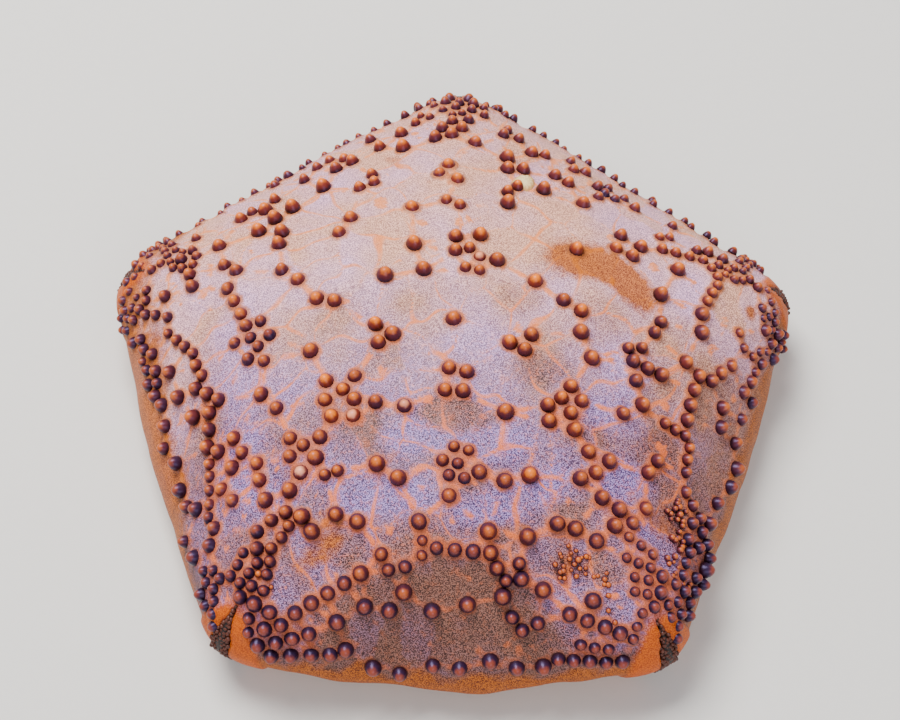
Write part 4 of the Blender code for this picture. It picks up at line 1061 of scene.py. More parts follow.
TINTED = (  # x, y, radius, how much brighter or darker the tubercles there are
    (7, 32, 3, 0.6), (23, 16, 4, 0.5), (35, 29, 3, 0.5), (36, 7, 4, 0.3), (48, 32, 5, 0.4),
    (-33, -28, 4, 0.5), (-34, -19, 6, 0.4), (-22, 0, 6, 0.5), (17, -4, 6, 0.3), (2, 26, 10, 0.2),
    (2, -43, 9, -0.45), (0, -15, 6, -0.15), (-16, 18, 10, 0.2), (33, -24, 10, 0.25), (48, 60, 8, -0.5),
    (0, 82, 16, -0.15), (-57, -4, 10, -0.45), (55, -6, 12, -0.3), (-28, -32, 8, 0.25), (22, -46, 5, 0.2),
    (74, -60, 12, -0.4), (0, 2, 4, 0.1),
)
WORN = (  # x, y, radius, share: pale tips, rubbed bare
    (7, 24, 2.0, 0.7), (-13, -26, 2.0, 0.6), (-27, -29, 2.0, 0.8), (-41, -45, 2.6, 1.0),
)
TINT, TINT_CHANGE = 0.5, 0.2
TINT_SHIFTS = (  # brighter on the back, darker towards the rim and the front foot: how much, from, to
    (0.2, 15, 45), (-0.3, 75, 95), (-0.35, 45, 70),
)
WORN_DOWN = 0.3  # how much lower a worn tubercle is


def skin_piece(s):
    """One skin over the disc and arms, closed over the mouth's recess."""
    rings = skin_rings(s.spokes, s.ring_pitch / MM)
    mouth, down, plan, _ = rings[-1]
    turns = np.arctan2(mouth[:, 1], mouth[:, 0])
    for radius in (MOUTH_RADIUS, MOUTH_RADIUS / 2):
        rings.append((circle(radius, MOUTH_ROOF, turns), down, plan, True))
    ends = [((0, 0, HEIGHT), (0, 0, 1), (0, 0), False), ((0, 0, MOUTH_ROOF), DOWN, plan[0], True)]
    points, normals, plan = (
        np.concatenate([ring[k] for ring in rings] + [[end[k]] for end in ends]) for k in range(3)
    )
    under = np.concatenate([np.full(len(ring[0]), ring[3]) for ring in rings] + [[False, True]])
    sizes = [len(ring[0]) for ring in rings]
    marks = skin_marks(points, normals, plan, under, s.field_pitch / MM)
    lift = relief(marks, plan, points, under)
    lift[sum(sizes[:-2]) + 1:] = 0  # the recess is smooth, but for its rim's first point
    lift[-2] = lift[0]
    faces = joined_rings(sizes, len(points) - 2, len(points) - 1)
    mesh = mesh_of("skin", points + normals * lift[:, None], faces, **marks)
    return finished("skin", mesh, skin_finish(s), FLESH_NODES)


def tubercle_tints(plan):
    """(how bright, how worn) each tubercle is."""
    chance = np.random.default_rng(SEED + 8)
    tint = TINT + TINT_CHANGE * chance.uniform(-1, 1, len(plan))
    ways = (plan[:, 1], outward_from_axis(plan), -plan[:, 1])
    for way, (change, start, end) in zip(ways, TINT_SHIFTS):
        tint += change * step_up(way, start, end)
    for x, y, radius, change in TINTED:
        tint += change * near(plan, x, y, radius, radius)
    worn = sum(share * near(plan, x, y, radius, radius) for x, y, radius, share in WORN)
    return np.clip(tint, 0, 1), np.clip(worn, 0, 1)


def tubercle_piece(s):
    """The large tubercles of the back and walls."""
    plan, widths, points, normals = tubercles()
    tint, worn = tubercle_tints(plan)
    tall = widths * s.height_share * (1 - WORN_DOWN * worn)
    places = growth_places("tubercle", points, normals, widths, tall, tint, worn=worn)
    shape = template("tubercle_shape", DROP_PROFILE, 12)
    return grown("tubercles", places, shape, tubercle_finish(s), lean=0.07, swelling=0.05)


BEAD_GROUPS = (  # x, y, radius of the group, how many, width
    (34.5, -68.5, 5.2, 22, 1.7), (43, -72, 2.6, 6, 1.9), (66, -50, 4.0, 12, 1.8), (67, -58, 3.6, 12, 1.8),
    (65, -66, 3.6, 10, 1.7), (69, -71, 3.0, 8, 1.9), (-51, -74, 4.0, 8, 2.0), (44, -80, 5, 6, 1.8),
)
BEAD_TURN, BEAD_ASTRAY, BEAD_WIDTHS = 2.4, (-0.4, 0.4), (0.75, 1.25)
BEAD_CLEAR = 0.3  # from the nearest large tubercle's foot
BEAD_HEIGHT = 0.8  # over its width
BEAD_TINT = 0.45


def bead_piece():
    """Tiny tubercles in loose rosettes between the large ones."""
    chance = np.random.default_rng(SEED + 9)
    found = []
    for x, y, radius, count, width in BEAD_GROUPS:
        for k in range(count):
            turn = BEAD_TURN * k + chance.uniform(*BEAD_ASTRAY)
            dx, dy = from_polar(turn, radius * math.sqrt((k + 0.5) / count))
            found.append((x + dx, y + dy, width * chance.uniform(*BEAD_WIDTHS)))
    found = np.array(found)
    found = found[to_nearest_feet(found[:, :2], *tubercles()[:2])[0] > BEAD_CLEAR]
    points, normals = placed_on_skin(found[:, :2])
    widths = found[:, 2]
    tint = np.clip(BEAD_TINT + TINT_CHANGE * chance.uniform(-1, 1, len(found)), 0, 1)
    places = growth_places("bead", points, normals, widths, BEAD_HEIGHT * widths, tint, worn=0 * tint)
    shape = template("bead_shape", GRAIN_PROFILE, 8)
    return grown("small_tubercles", places, shape, bpy.data.materials["tubercle_cuticle"])


# ---------------------------------------------------------------- furrows

FLOOR_DEPTHS = (-4.2, -3.0, -0.4, 0.9)  # its base, its top under the sole and on the tip, its cushion's crown
FLOOR_COLUMNS = 9
PLATE_STEP = 0.86  # distance between the end plates over their width
PLATE_WIDTH, PLATE_HEIGHT = 1.05, 0.9  # over that width
PLATE_LEAST_HEIGHT = 1.25  # how far off the floor they keep, over that width
PLATE_LIFT, PLATE_CROWN = (-0.4, 0.2), 0.1  # off the line: at first, more on the tip, more in the middle
PLATE_ASTRAY = 0.2  # over their step
SOLE_STATIONS, TIP_STATIONS = 60, 40  # points of the furrow's line under the sole and up the tip
FURROW_ROWS = {  # its profile and height, then across, lift, fold over the furrow and width for each row
    "furrow_spines": (SPINE_PROFILE, 1.0, ((3.9, -1.1, 0.75, 1.5), (5.9, -0.9, 0.2, 1.9))),
    "tube_feet": (FOOT_PROFILE, 1.7, ((1.0, -3.2, 0.1, 1.5), (2.7, -3.0, 0.0, 1.5))),
}
ROW_LEAST_HEIGHT = 1.25
ROW_SPACING = 1.05  # distance along a row over its widest copies


def furrow_line(count):
    """(radius, height), the way out of the body, the climb and the tip's share, from the mouth outwards."""
    foot = float(outward_from_axis(skin(ARM, 1.0)))
    radius = np.linspace(MOUTH_RADIUS - 1, foot, SOLE_STATIONS)
    height = underside_height(radius / TIP_REACH) + SOLE_LIFT * step_up(foot - radius, 0, 3)
    end = skin(ARM, np.linspace(1, FURROW_TOP, TIP_STATIONS)[1:])
    climbing = np.stack([outward_from_axis(end), end[:, 2]], axis=-1)
    line = np.concatenate([np.stack([radius, height], axis=-1), climbing])
    length = lengths_along(line)
    steps = np.linspace(0, length[-1], count)
    line = np.stack([np.interp(steps, length, line[:, k]) for k in (0, 1)], axis=-1)
    along = np.gradient(line, axis=0)
    along /= np.linalg.norm(along, axis=1, keepdims=True)
    out = np.stack([along[:, 1], -along[:, 0]], axis=1)
    turn_up = length[SOLE_STATIONS - 1]
    tip = step_up(steps, turn_up - 2, turn_up + 3)
    return line, out, line[:, 1] / FURROW_CLIMB * tip, tip


def beside_furrow(angle, line, out, across, lift):
    """(points, outward directions) beside a furrow's line: across its middle and lifted off it."""
    radial, side = out_and_aside(angle)
    normals = out[:, :1] * radial + out[:, 1:] * UP
    points = line[:, :1] * radial + line[:, 1:] * UP + side * np.asarray(across)[:, None]
    return points + normals * np.asarray(lift)[:, None], normals


def furrow_floor(angle):
    """(points, faces) of one furrow's soft floor."""
    line, out, climb, tip = furrow_line(72)
    spread = np.linspace(-1, 1, FLOOR_COLUMNS)
    base, sole_top, tip_top, crown = FLOOR_DEPTHS
    rings = []
    for k, half_width in enumerate(np.maximum(furrow_width(climb), 0.3)):
        top = sole_top + (tip_top - sole_top + (crown - tip_top) * (1 - spread**2)) * tip[k]
        across = np.concatenate([spread, (1, -1)]) * half_width
        station = (np.repeat(each[k:k + 1], len(across), axis=0) for each in (line, out))
        rings.append(beside_furrow(angle, *station, across, np.concatenate([top, (base, base)]))[0])
    return loft(rings, rings[0].mean(axis=0), rings[-1].mean(axis=0))


def furrow_piece(s):
    """The furrows' soft floors: sunk under the sole, swelling into a cushion on each arm's tip."""
    mesh = mesh_of("furrow_floor", *joined(furrow_floor(angle) for angle in ARM_ANGLES))
    turn_outwards(mesh)
    # near black: painted shade in the furrows
    material = grained_finish("furrow_tissue", s.floor_low, s.floor_high, 0.9 * MM, 0.5)
    return finished("furrow_floor", mesh, material, FURROW_NODES)


def furrow_grain_piece(s):
    """Stubby plates packed over each furrow's end."""
    line, out, climb, tip = furrow_line(240)
    chance = np.random.default_rng(SEED + 10)
    points, normals, tints = [], [], []
    grain = s.grain_width / MM
    step = grain * PLATE_STEP
    length = lengths_along(line)
    profile = np.column_stack([line, out, furrow_width(climb), PLATE_LIFT[0] + PLATE_LIFT[1] * tip])
    start = np.interp(0.5, tip, length)
    for angle in ARM_ANGLES:
        for row, at in enumerate(np.arange(start - 1, length[-1], step)):
            *here, width, lift = (np.interp(at, length, column) for column in profile.T)
            width = max(width, 0.4)
            columns = np.arange(-width, width + 0.01, step) + (row % 2) * step / 2
            columns = columns + chance.uniform(-PLATE_ASTRAY, PLATE_ASTRAY, len(columns)) * step
            station, way = (np.tile(pair, (len(columns), 1)) for pair in (here[:2], here[2:]))
            lift = lift + PLATE_CROWN * (1 - (columns / (width + 1)) ** 2)
            more, up = beside_furrow(angle, station, way, columns, lift)
            points += list(more)
            normals += list(up)
            tints += list(chance.uniform(0, 1, len(columns)))
    points = np.array(points)
    points[:, 2] = np.maximum(points[:, 2], PLATE_LEAST_HEIGHT * grain)
    size = (PLATE_WIDTH * grain, PLATE_HEIGHT * grain)
    places = growth_places("furrow_grain", points, normals, *size, np.array(tints))
    material = grained_finish("furrow_plates", s.grain_low, s.grain_high, 0.8 * MM, 0.42)
    shape = template("furrow_grain_shape", GRAIN_PROFILE, 8)
    return grown("furrow_grains", places, shape, material, lean=0.35, swelling=0.2)


def furrow_row(angle, hand, across, lift, fold):
    """(points, up directions) along one row under the sole, which folds over the furrow from one side."""
    line, out, _, tip = furrow_line(90)
    sole = tip < 0.5
    each = np.ones(sole.sum())
    points, up = beside_furrow(angle, line[sole], out[sole], hand * across * each, lift * each)
    inwards = -hand * out_and_aside(angle)[1]
    return np.maximum(points, (-np.inf, -np.inf, ROW_LEAST_HEIGHT)), up * (1 - fold) + inwards * fold


def furrow_row_pieces(s):
    """Rows of blunt spines that fold in over each furrow under the sole, and its tube feet between them."""
    colours = {"furrow_spines": (s.spine_low, s.spine_high), "tube_feet": (s.feet_low, s.feet_high)}
    for name, (profile, tall, rows) in FURROW_ROWS.items():
        points, ups, widths, edges = [], [], [], []
        for angle in ARM_ANGLES:
            for hand in (-1, 1):
                for across, lift, fold, width in rows:
                    more, up = furrow_row(angle, hand, across, lift, fold)
                    edges += [(len(points) + k, len(points) + k + 1) for k in range(len(more) - 1)]
                    points += list(more)
                    ups += list(up)
                    widths += [width] * len(more)
        places = growth_places(name, points, ups, np.array(widths), tall, edges=edges)
        shape = template(f"{name}_shape", profile, 8)
        material = grained_finish(f"{name}_skin", *colours[name], 1.2 * MM, 0.42)
        grown(name, places, shape, material, True, max(widths) * ROW_SPACING, 0.12, 0.12)


# ---------------------------------------------------------------- sole, jaws and sieve plate

SOLE_ASTRAY = 0.16  # how far a grain strays from the honeycomb, over its pitch
SOLE_WIDTHS = (0.7, 0.98)  # over the pitch
FROM_MOUTH, FROM_FOOT, FROM_FURROW, FROM_FLOOR = 1.5, 0.8, 2.6, 0.02  # how far the grains keep off

JAW_START, JAW_LENGTH = 2.6, 8.0  # out from the axis
JAW_HALF_WIDTH, JAW_WIDENING = 0.5, 2.1
JAW_MIDDLE, JAW_LOWEST, JAW_ARCH = 4.6, 3.2, 1.2  # its height off the floor, its lower face, its bend
JAW_GAP = 0.18  # between its two halves and their middle line
# A sheet round the mouth's opening, painted dark as its shade.
SHADE_CUP = ((1.5, 7.9), (6, 6.4), (10.8, 5.4), (10.9, 7.8), (6, 8.2))  # (radius, height) round the dark opening
SHADE_CUP_ENDS = (8.0, 8.3)
JAW_SPINE_WIDTH, JAW_SPINE_HEIGHT = 1.35, 2.0
JAW_SPINES = (  # how many, height, lean upwards, then at both ends: way out, way aside, lean out, lean aside
    (6, 3.4, -0.45, (3.0, 9.6), (1.2, 4.6), (-1.2, 0), (0.3, 0.9)),  # along each edge
    (3, 2.6, -1.0, (3.6, 8.6), (0.9, 2.1), (-0.5, -0.5), (0, 0)),  # down the middle
)

SIEVE_SIDES, SIEVE_ROWS = 72, 16
SIEVE_GROOVES, GROOVE_CUT = 13, 0.22
SIEVE_LENGTH, SIEVE_WIDTH = 1.12, 0.92  # over its radius
SIEVE_DROP = 0.8  # how far its rim bends down


def sole_piece(s):
    """The mosaic of blunt grains that the star rests on."""
    chance = np.random.default_rng(SEED + 12)
    pitch = s.sole_grain_pitch / MM
    found = honeycomb(pitch, TIP_REACH)
    found = found + chance.uniform(-SOLE_ASTRAY, SOLE_ASTRAY, found.shape) * pitch
    over = outward_from_axis(found)
    foot = outward_from_axis(skin(np.arctan2(found[:, 1], found[:, 0]), 1.0))
    across = beside_arm(found)
    kept = (over > MOUTH_RADIUS + FROM_MOUTH) & (over < foot - FROM_FOOT)
    kept &= across > FURROW_HALF_WIDTH + FROM_FURROW
    found, over = found[kept], over[kept]
    height = underside_height(over / reach(np.arctan2(found[:, 1], found[:, 0]))) + SOLE_LIFT
    widths = pitch * chance.uniform(*SOLE_WIDTHS, len(found))
    points, down = np.column_stack([found, height]), np.tile(DOWN, (len(found), 1))
    tint = chance.uniform(0, 1, len(found))
    places = growth_places("sole", points, down, widths, SOLE_LIFT - FROM_FLOOR, tint)
    material = grained_finish("sole_grains_skin", s.sole_low, s.sole_high, 1.1 * MM, 0.5)
    shape = template("sole_grain_shape", GRAIN_PROFILE, 6)
    return grown("sole_grains", places, shape, material, lean=0.0, swelling=0.0)


def jaw(angle, hand):
    """(points, faces) of one half of a jaw: a rounded plate that narrows towards the mouth's middle."""
    out, aside = out_and_aside(angle)
    turns = np.linspace(0, 2 * np.pi, 12, endpoint=False)
    rings = []
    for share in np.linspace(0, 1, 9):
        half = JAW_HALF_WIDTH + JAW_WIDENING * share**0.8
        thick = JAW_MIDDLE - JAW_LOWEST + JAW_ARCH * math.sin(math.pi * min(share + 0.18, 1))
        across = hand * (half + JAW_GAP) + half * np.cos(turns)
        height = JAW_MIDDLE + thick * np.sin(turns) * np.where(np.sin(turns) < 0, 0.9, 0.8)
        rings.append(out * (JAW_START + JAW_LENGTH * share) + np.outer(across, aside) + np.outer(height, UP))
    return loft(rings, rings[0].mean(axis=0), rings[-1].mean(axis=0))


def mouth_piece(s):
    """Five jaws, each of two plates, in the mouth's recess over a dark opening; the opening's sheet and the
    jaws' darkening towards the recess's roof are painted shade.
    """
    turns = 2 * np.pi * np.arange(40) / 40
    shade_cup = loft([circle(radius, height, turns) for radius, height in SHADE_CUP], *((0, 0, end) for end in SHADE_CUP_ENDS))
    points, faces = joined([*(jaw(angle + HALF_SIDE, hand) for angle in ARM_ANGLES for hand in (-1, 1)), shade_cup])
    # darker higher up into the recess: painted shade
    rise = 1 - (np.array(points)[:, 2] - 2) / 6
    mesh = mesh_of("jaws", points, faces, rise=np.clip(rise, 0, 1))
    turn_outwards(mesh)
    material = grained_finish("jaw_skin", s.low, s.high, 1.2 * MM, 0.45)
    return finished("jaws", mesh, material, ["mouth"])


def jaw_spine_piece(s):
    """Blunt spines along each jaw's edges, pointing across the mouth, and shorter rows on its middle."""
    points, ups = [], []
    for angle in ARM_ANGLES + HALF_SIDE:
        out, side = out_and_aside(angle)
        for hand in (-1, 1):
            for count, height, rise, *ends in JAW_SPINES:
                for far, wide, lean, tilt in np.transpose([np.linspace(*span, count) for span in ends]):
                    points.append(out * far + side * hand * wide + UP * height)
                    ups.append(out * lean + side * hand * tilt + UP * rise)
    places = growth_places("jaw_spine", points, ups, JAW_SPINE_WIDTH, JAW_SPINE_HEIGHT)
    material = grained_finish("jaw_spine_skin", s.spine_low, s.spine_high, 1.0 * MM, 0.42)
    shape = template("jaw_spine_shape", SPINE_PROFILE, 9)
    return grown("jaw_spines", places, shape, material, swelling=0.12)


def sieve_piece(s):
    """The sieve plate: a low cream dome cut by winding grooves that run out to its rim."""
    place, up = placed_on_skin(np.array([MADREPORITE_AT]))
    place, up = place[0], Vector(up[0])
    across = up.orthogonal().normalized()
    up, across, other = (np.array(way) for way in (up, across, up.cross(across)))
    turns = 2 * np.pi * np.arange(SIEVE_SIDES) / SIEVE_SIDES
    radius, height = s.radius / MM, s.height / MM
    edge = 1 + 0.10 * np.sin(2 * turns + 0.6) + 0.06 * np.sin(3 * turns)
    rings = []
    for share in np.linspace(0, 1, SIEVE_ROWS)[1:]:
        winding = turns * SIEVE_GROOVES + 3.0 * np.sin(share * 7) + 1.5 * np.sin(turns * 3)
        cut = GROOVE_CUT * (0.5 + 0.5 * np.sin(winding)) * math.sin(math.pi * share) ** 0.5
        dome = height * (1 - share**2.4) - cut - SIEVE_DROP * share**6
        out = share * edge * radius
        along, aside = SIEVE_LENGTH * out * np.cos(turns), SIEVE_WIDTH * out * np.sin(turns)
        ways = ((along, across), (aside, other), (dome, up))
        rings.append(sum(np.outer(far, way) for far, way in ways))
    rings.append(rings[-1] * 0.9 - up)
    points, faces = loft(rings, up * height, -up * 1.4)
    # rise is lower in the grooves and at the rim, which are darkened there as painted shade
    mesh = mesh_of("sieve_plate", points + place, faces, rise=np.clip(points @ up / height, 0, 1))
    turn_outwards(mesh)
    material = grained_finish("sieve_plate_stone", s.low, s.high, 0.7 * MM, 0.6)
    return finished("sieve_plate", mesh, material, ["madreporite"])


# ---------------------------------------------------------------- stage

LAMPS = {  # place, side and share of the power
    "over_light": ((-0.30, 0.38, 1.0), 0.6, 1.0), "front_light": ((0.25, -0.9, 0.7), 0.8, 0.3),
}
TOOTH_SCALE, TOOTH_SHADE = 300.0, 0.97  # the paper's faint grain: how many to a metre, and how dark
NEAREST_SEEN = 0.01


def placed(name, data):
    """A new object in the scene."""
    thing = bpy.data.objects.new(name, data)
    bpy.context.scene.collection.objects.link(thing)
    return thing


def floor_piece(s):
    """Matt paper: pale, with a tooth too fine to shine."""
    mesh = bpy.data.meshes.new("floor")
    side = s.floor_side / 2
    corners = [(-side, -side, 0), (side, -side, 0), (side, side, 0), (-side, side, 0)]
    mesh.from_pydata(corners, [], [(0, 1, 2, 3)])
    material, tree, shader = new_finish("floor_paper", Roughness=0.9)
    place = add(tree, "ShaderNodeTexCoord", out="Object")
    tooth = add(tree, "ShaderNodeTexNoise", {"Vector": place, "Scale": TOOTH_SCALE}, "Fac")
    darker = [channel * TOOTH_SHADE for channel in s.floor_colour]
    shade = add(tree, "ShaderNodeMix", {"Factor": tooth, 6: darker, 7: s.floor_colour}, 2, data_type="RGBA")
    tree.links.new(shade, shader.inputs["Base Color"])
    mesh.materials.append(material)
    placed("floor", mesh)


def lights(s):
    """One large soft light over the star, a weaker one in front of it, and an even sky."""
    world = bpy.data.worlds.new("soft_sky")
    world.use_nodes = True
    sky = world.node_tree.nodes["Background"]
    sky.inputs["Color"].default_value = (*s.sky_colour, 1)
    sky.inputs["Strength"].default_value = s.sky_strength
    bpy.context.scene.world = world
    for name, (place, side, share) in LAMPS.items():
        lamp = bpy.data.lights.new(name, "AREA")
        lamp.size = side
        lamp.energy = s.light_power * share
        light = placed(name, lamp)
        light.location = place
        light.rotation_euler = (-Vector(place)).to_track_quat("-Z", "Y").to_euler()


def camera(s):
    """The view from above the star's front, turned a little about its own axis."""
    level = math.cos(s.camera_elevation)
    back = Vector((math.sin(s.camera_azimuth) * level, -math.cos(s.camera_azimuth) * level,
                   math.sin(s.camera_elevation)))
    right = (-back).cross(Vector((0, 0, 1))).normalized()
    up = right.cross(-back)
    across = right * math.cos(s.camera_roll) + up * math.sin(s.camera_roll)
    upright = up * math.cos(s.camera_roll) - right * math.sin(s.camera_roll)
    lens = bpy.data.cameras.new("camera")
    lens.lens = s.camera_lens
    lens.clip_start = NEAREST_SEEN
    viewer = placed("camera", lens)
    where = Vector(CENTRE) + Vector(s.camera_target) + back * s.camera_distance
    viewer.matrix_world = Matrix.Translation(where) @ Matrix((across, upright, back)).transposed().to_4x4()
    bpy.context.scene.camera = viewer


def stage(s):
    """A pale floor, the lights and the camera."""
    floor_piece(s)
    lights(s)
    camera(s)


# ---------------------------------------------------------------- settings


def colour(name, description, code):
    return bpy.props.FloatVectorProperty(
        name=name, description=description, subtype="COLOR", size=3, min=0, max=1, default=linear(code)
    )


def number(name, description, default, **settings):
    return bpy.props.FloatProperty(name=name, description=description, default=default, **settings)


def length(name, description, millimetres):
    return number(name, description, millimetres * MM, min=0, unit="LENGTH", precision=5)


def angle(name, description, degrees):
    return number(name, description, math.radians(degrees), subtype="ANGLE")


class CushionStarSkin(bpy.types.PropertyGroup):
    spokes: bpy.props.IntProperty(
        name="Spokes", description="Points round the skin's widest rings", default=640)
    ring_pitch: length("Ring pitch", "Distance between the skin's rings", 0.85)
    field_pitch: length("Field pitch", "Usual distance between the middles of two papular fields", 13.5)
    grain_pitch: length("Grain pitch", "Half the distance between the winding lines of papulae", 0.30)
    sole_grain_pitch: length("Sole grain pitch", "Distance between the sole's grains", 2.9)
    lilac: colour("Lilac", "Grains of the lilac fields", "#B08CCC")
    lilac_lines: colour("Lilac lines", "Between the grains of the lilac fields", "#3E2C4E")
    brown: colour("Brown", "Grains of the brown fields", "#A46E6A")
    brown_lines: colour("Brown lines", "Between the grains of the brown fields", "#3C2624")
    # The back's pale colours are partly its own paler skin and partly painted sky sheen.
    pale_sheen_lilac: colour("Pale lilac", "Grains of the lilac fields on the back", "#FFC4E0")
    pale_sheen_lilac_lines: colour("Pale lilac lines", "Between those grains", "#92708C")
    pale_sheen_brown: colour("Pale brown", "Grains of the brown fields on the back", "#FFBEA0")
    pale_sheen_brown_lines: colour("Pale brown lines", "Between those grains", "#A06858")
    network: colour("Network", "Skin over the ossicles between the fields", "#FF7434")
    network_lines: colour("Network lines", "Between the network's grains", "#8F461D")
    orange: colour("Orange", "The band round the foot, and the stains", "#C86800")
    orange_lines: colour("Orange lines", "Between the grains of the band", "#6A2A08")
    # Partly painted sky sheen, like the back's pale grains.
    network_back_sheen: colour("Network, back", "The same skin on the pale back", "#FF924E")
    # The wall colours are partly the walls' own brown and partly painted shade on their steep sides.
    wall: colour("Wall", "Grains of the walls", "#80543E")
    wall_and_shade_lines: colour("Wall lines", "Between the grains of the walls", "#40241A")
    lips_low: colour("Lips, low", "Hollows of that smooth skin", "#A84000")
    lips: colour("Lips", "Smooth skin beside each furrow's end", "#D46200")
    # Near black: painted shade inside the furrows.
    groove_shade: colour("Groove", "Skin inside the furrows", "#1E0806")
    # A painted shade round each tubercle's foot.
    foot: colour("Foot", "Skin round the foot of each tubercle", "#50322B")
    underside: colour("Underside", "The sole's skin", "#CC6D16")
    underside_lines: colour("Underside lines", "Between the sole's grains", "#643B24")
    # The low colour darkens the foot of each grain as painted shade.
    sole_low: colour("Sole grain, low", "Hollows between the sole's grains", "#643B24")
    sole_high: colour("Sole grain, high", "Tops of the sole's grains", "#C98848")


class CushionStarTubercles(bpy.types.PropertyGroup):
    height_share: number("Height", "Height over width", 0.74, min=0.3, max=2)
    sheen: colour("Sheen", "Tint of the light they reflect", "#D0C0FF")
    foot: colour("Foot", "Foot of every tubercle", "#240810")
    dark_body: colour("Dark body", "Sides of the darkest tubercles", "#2A1830")
    bright_body: colour("Bright body", "Sides of the brightest tubercles", "#7E3018")
    dark_tip: colour("Dark tip", "Tips of the darkest tubercles", "#8E4028")
    bright_tip: colour("Bright tip", "Tips of the brightest tubercles", "#FF8200")
    worn_tip: colour("Worn tip", "Tips that are rubbed bare", "#FFA47C")


class CushionStarFurrows(bpy.types.PropertyGroup):
    grain_width: length("Grain width", "Width of the plates packed over a furrow's end", 1.35)
    # The furrow floor is a dark sheet deep in the furrows: painted shade.
    floor_low: colour("Floor, low", "Deep furrow tissue", "#1A0A08")
    floor_high: colour("Floor, high", "Raised furrow tissue", "#3A1A10")
    # The low colours darken the foot of each copy as painted shade.
    grain_low: colour("Plate, low", "Foot of the end plates", "#1C0706")
    grain_high: colour("Plate, high", "Tops of the end plates", "#5A2C1E")
    spine_low: colour("Spine, low", "Foot of the furrow spines", "#5A2E18")
    spine_high: colour("Spine, high", "Tips of the furrow spines", "#C07A3C")
    feet_low: colour("Tube foot, low", "Stalks of the tube feet", "#7A4424")
    feet_high: colour("Tube foot, high", "Discs of the tube feet", "#E0A864")


class CushionStarMouth(bpy.types.PropertyGroup):
    # Jaw colours go by height: the darker one is painted shade towards the recess's roof.
    low: colour("Jaw, low", "Sides of the jaws", "#4A2414")
    high: colour("Jaw, high", "Faces of the jaws", "#B87440")
    spine_low: colour("Spine, low", "Foot of the jaw spines", "#5A2E18")
    spine_high: colour("Spine, high", "Tips of the jaw spines", "#C07A3C")


class CushionStarSieve(bpy.types.PropertyGroup):
    radius: length("Radius", "Half the sieve plate's width", 4.3)
    height: length("Height", "How far the plate stands off the skin", 1.0)
    # The groove colour darkens the plate's grooves and rim as painted shade.
    low: colour("Grooves", "Inside the plate's grooves", "#D09858")
    high: colour("Ridges", "Tops of the plate's ridges", "#FFF0B0")


class CushionStarStage(bpy.types.PropertyGroup):
    floor_side: number("Floor", "Side of the floor", 6, unit="LENGTH")
    floor_colour: colour("Floor colour", "Pale paper", "#E9E4DC")
    sky_colour: colour("Sky", "Colour of the light from all round", "#E4ECFF")
    sky_strength: number("Sky strength", "Light from all round", 0.42)
    light_power: number("Light", "Power of the light overhead", 22, unit="POWER")
    camera_lens: number("Lens", "Focal length in millimetres", 88)
    camera_distance: number("Distance", "Camera to its target", 0.6729, unit="LENGTH")
    camera_elevation: angle("Elevation", "Camera above the horizon", 58.62)
    camera_azimuth: angle("Azimuth", "Camera round the star from its front", -0.13)
    camera_roll: angle("Roll", "Camera turned about its own axis", 1.70)
    camera_target: bpy.props.FloatVectorProperty(
        name="Target", description="The view's middle, from the mouth's axis on the floor",
        default=(-0.00067, 0.0194, 0), subtype="XYZ", unit="LENGTH", precision=5)


SETTINGS = {
    "cushion_star_skin": CushionStarSkin, "cushion_star_tubercles": CushionStarTubercles,
    "cushion_star_furrows": CushionStarFurrows, "cushion_star_mouth": CushionStarMouth,
    "cushion_star_sieve": CushionStarSieve, "cushion_star_stage": CushionStarStage,
}


# ---------------------------------------------------------------- operators and panel


class CUSHION_STAR_OT_stage(bpy.types.Operator):
    """Lays the floor, hangs the lights and sets up the camera"""

    bl_idname = "cushion_star.stage"
    bl_label = "Stage"

    def execute(self, context):
        stage(context.scene.cushion_star_stage)
        return {"FINISHED"}


class CUSHION_STAR_OT_skin(bpy.types.Operator):
    """Makes the one skin over the disc and the arms"""

    bl_idname = "cushion_star.skin"
    bl_label = "Skin"

    def execute(self, context):
        skin_piece(context.scene.cushion_star_skin)
        return {"FINISHED"}


class CUSHION_STAR_OT_tubercles(bpy.types.Operator):
    """Stands the tubercles, and the tiny ones between them, on the back and walls"""

    bl_idname = "cushion_star.tubercles"
    bl_label = "Tubercles"

    def execute(self, context):
        settings = context.scene.cushion_star_tubercles
        tubercle_piece(settings)
        bead_piece()
        return {"FINISHED"}


class CUSHION_STAR_OT_furrows(bpy.types.Operator):
    """Fills the five furrows with their floors, plates, spines and tube feet"""

    bl_idname = "cushion_star.furrows"
    bl_label = "Furrows"

    def execute(self, context):
        settings = context.scene.cushion_star_furrows
        furrow_piece(settings)
        furrow_grain_piece(settings)
        furrow_row_pieces(settings)
        return {"FINISHED"}


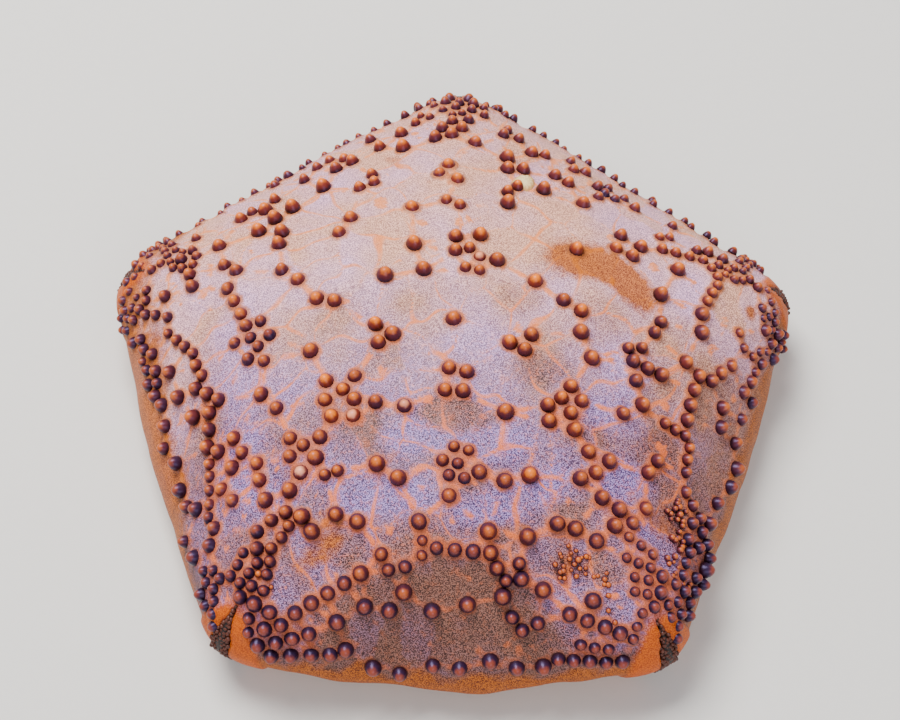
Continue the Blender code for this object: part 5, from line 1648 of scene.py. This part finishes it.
class CUSHION_STAR_OT_sole(bpy.types.Operator):
    """Paves the sole with grains"""

    bl_idname = "cushion_star.sole"
    bl_label = "Sole grains"

    def execute(self, context):
        sole_piece(context.scene.cushion_star_skin)
        return {"FINISHED"}


class CUSHION_STAR_OT_mouth(bpy.types.Operator):
    """Sets the jaws and their spines in the mouth's recess"""

    bl_idname = "cushion_star.mouth"
    bl_label = "Mouth"

    def execute(self, context):
        settings = context.scene.cushion_star_mouth
        mouth_piece(settings)
        jaw_spine_piece(settings)
        return {"FINISHED"}


class CUSHION_STAR_OT_sieve(bpy.types.Operator):
    """Sets the sieve plate in the back"""

    bl_idname = "cushion_star.sieve"
    bl_label = "Sieve plate"

    def execute(self, context):
        sieve_piece(context.scene.cushion_star_sieve)
        return {"FINISHED"}


OPERATORS = (
    CUSHION_STAR_OT_stage, CUSHION_STAR_OT_skin, CUSHION_STAR_OT_tubercles, CUSHION_STAR_OT_furrows,
    CUSHION_STAR_OT_sole, CUSHION_STAR_OT_mouth, CUSHION_STAR_OT_sieve,
)


class CUSHION_STAR_PT_panel(bpy.types.Panel):
    """Buttons that make the star's pieces, in order"""

    bl_idname = "CUSHION_STAR_PT_panel"
    bl_label = "Cushion star"
    bl_space_type = "VIEW_3D"
    bl_region_type = "UI"
    bl_category = "Cushion star"

    def draw(self, context):
        for operator in OPERATORS:
            self.layout.operator(operator.bl_idname)
        for name, group in SETTINGS.items():
            box = self.layout.box()
            for setting in group.__annotations__:
                box.prop(getattr(context.scene, name), setting)


def register():
    for group in (*SETTINGS.values(), *OPERATORS, CUSHION_STAR_PT_panel):
        bpy.utils.register_class(group)
    for name, group in SETTINGS.items():
        setattr(bpy.types.Scene, name, bpy.props.PointerProperty(type=group))


def unregister():
    for name in SETTINGS:
        delattr(bpy.types.Scene, name)
    for group in (CUSHION_STAR_PT_panel, *reversed(OPERATORS), *reversed(SETTINGS.values())):
        bpy.utils.unregister_class(group)


def main():
    register()
    for operator in OPERATORS:
        getattr(bpy.ops.cushion_star, operator.bl_idname.split(".")[1])()


if __name__ == "__main__":
    main()
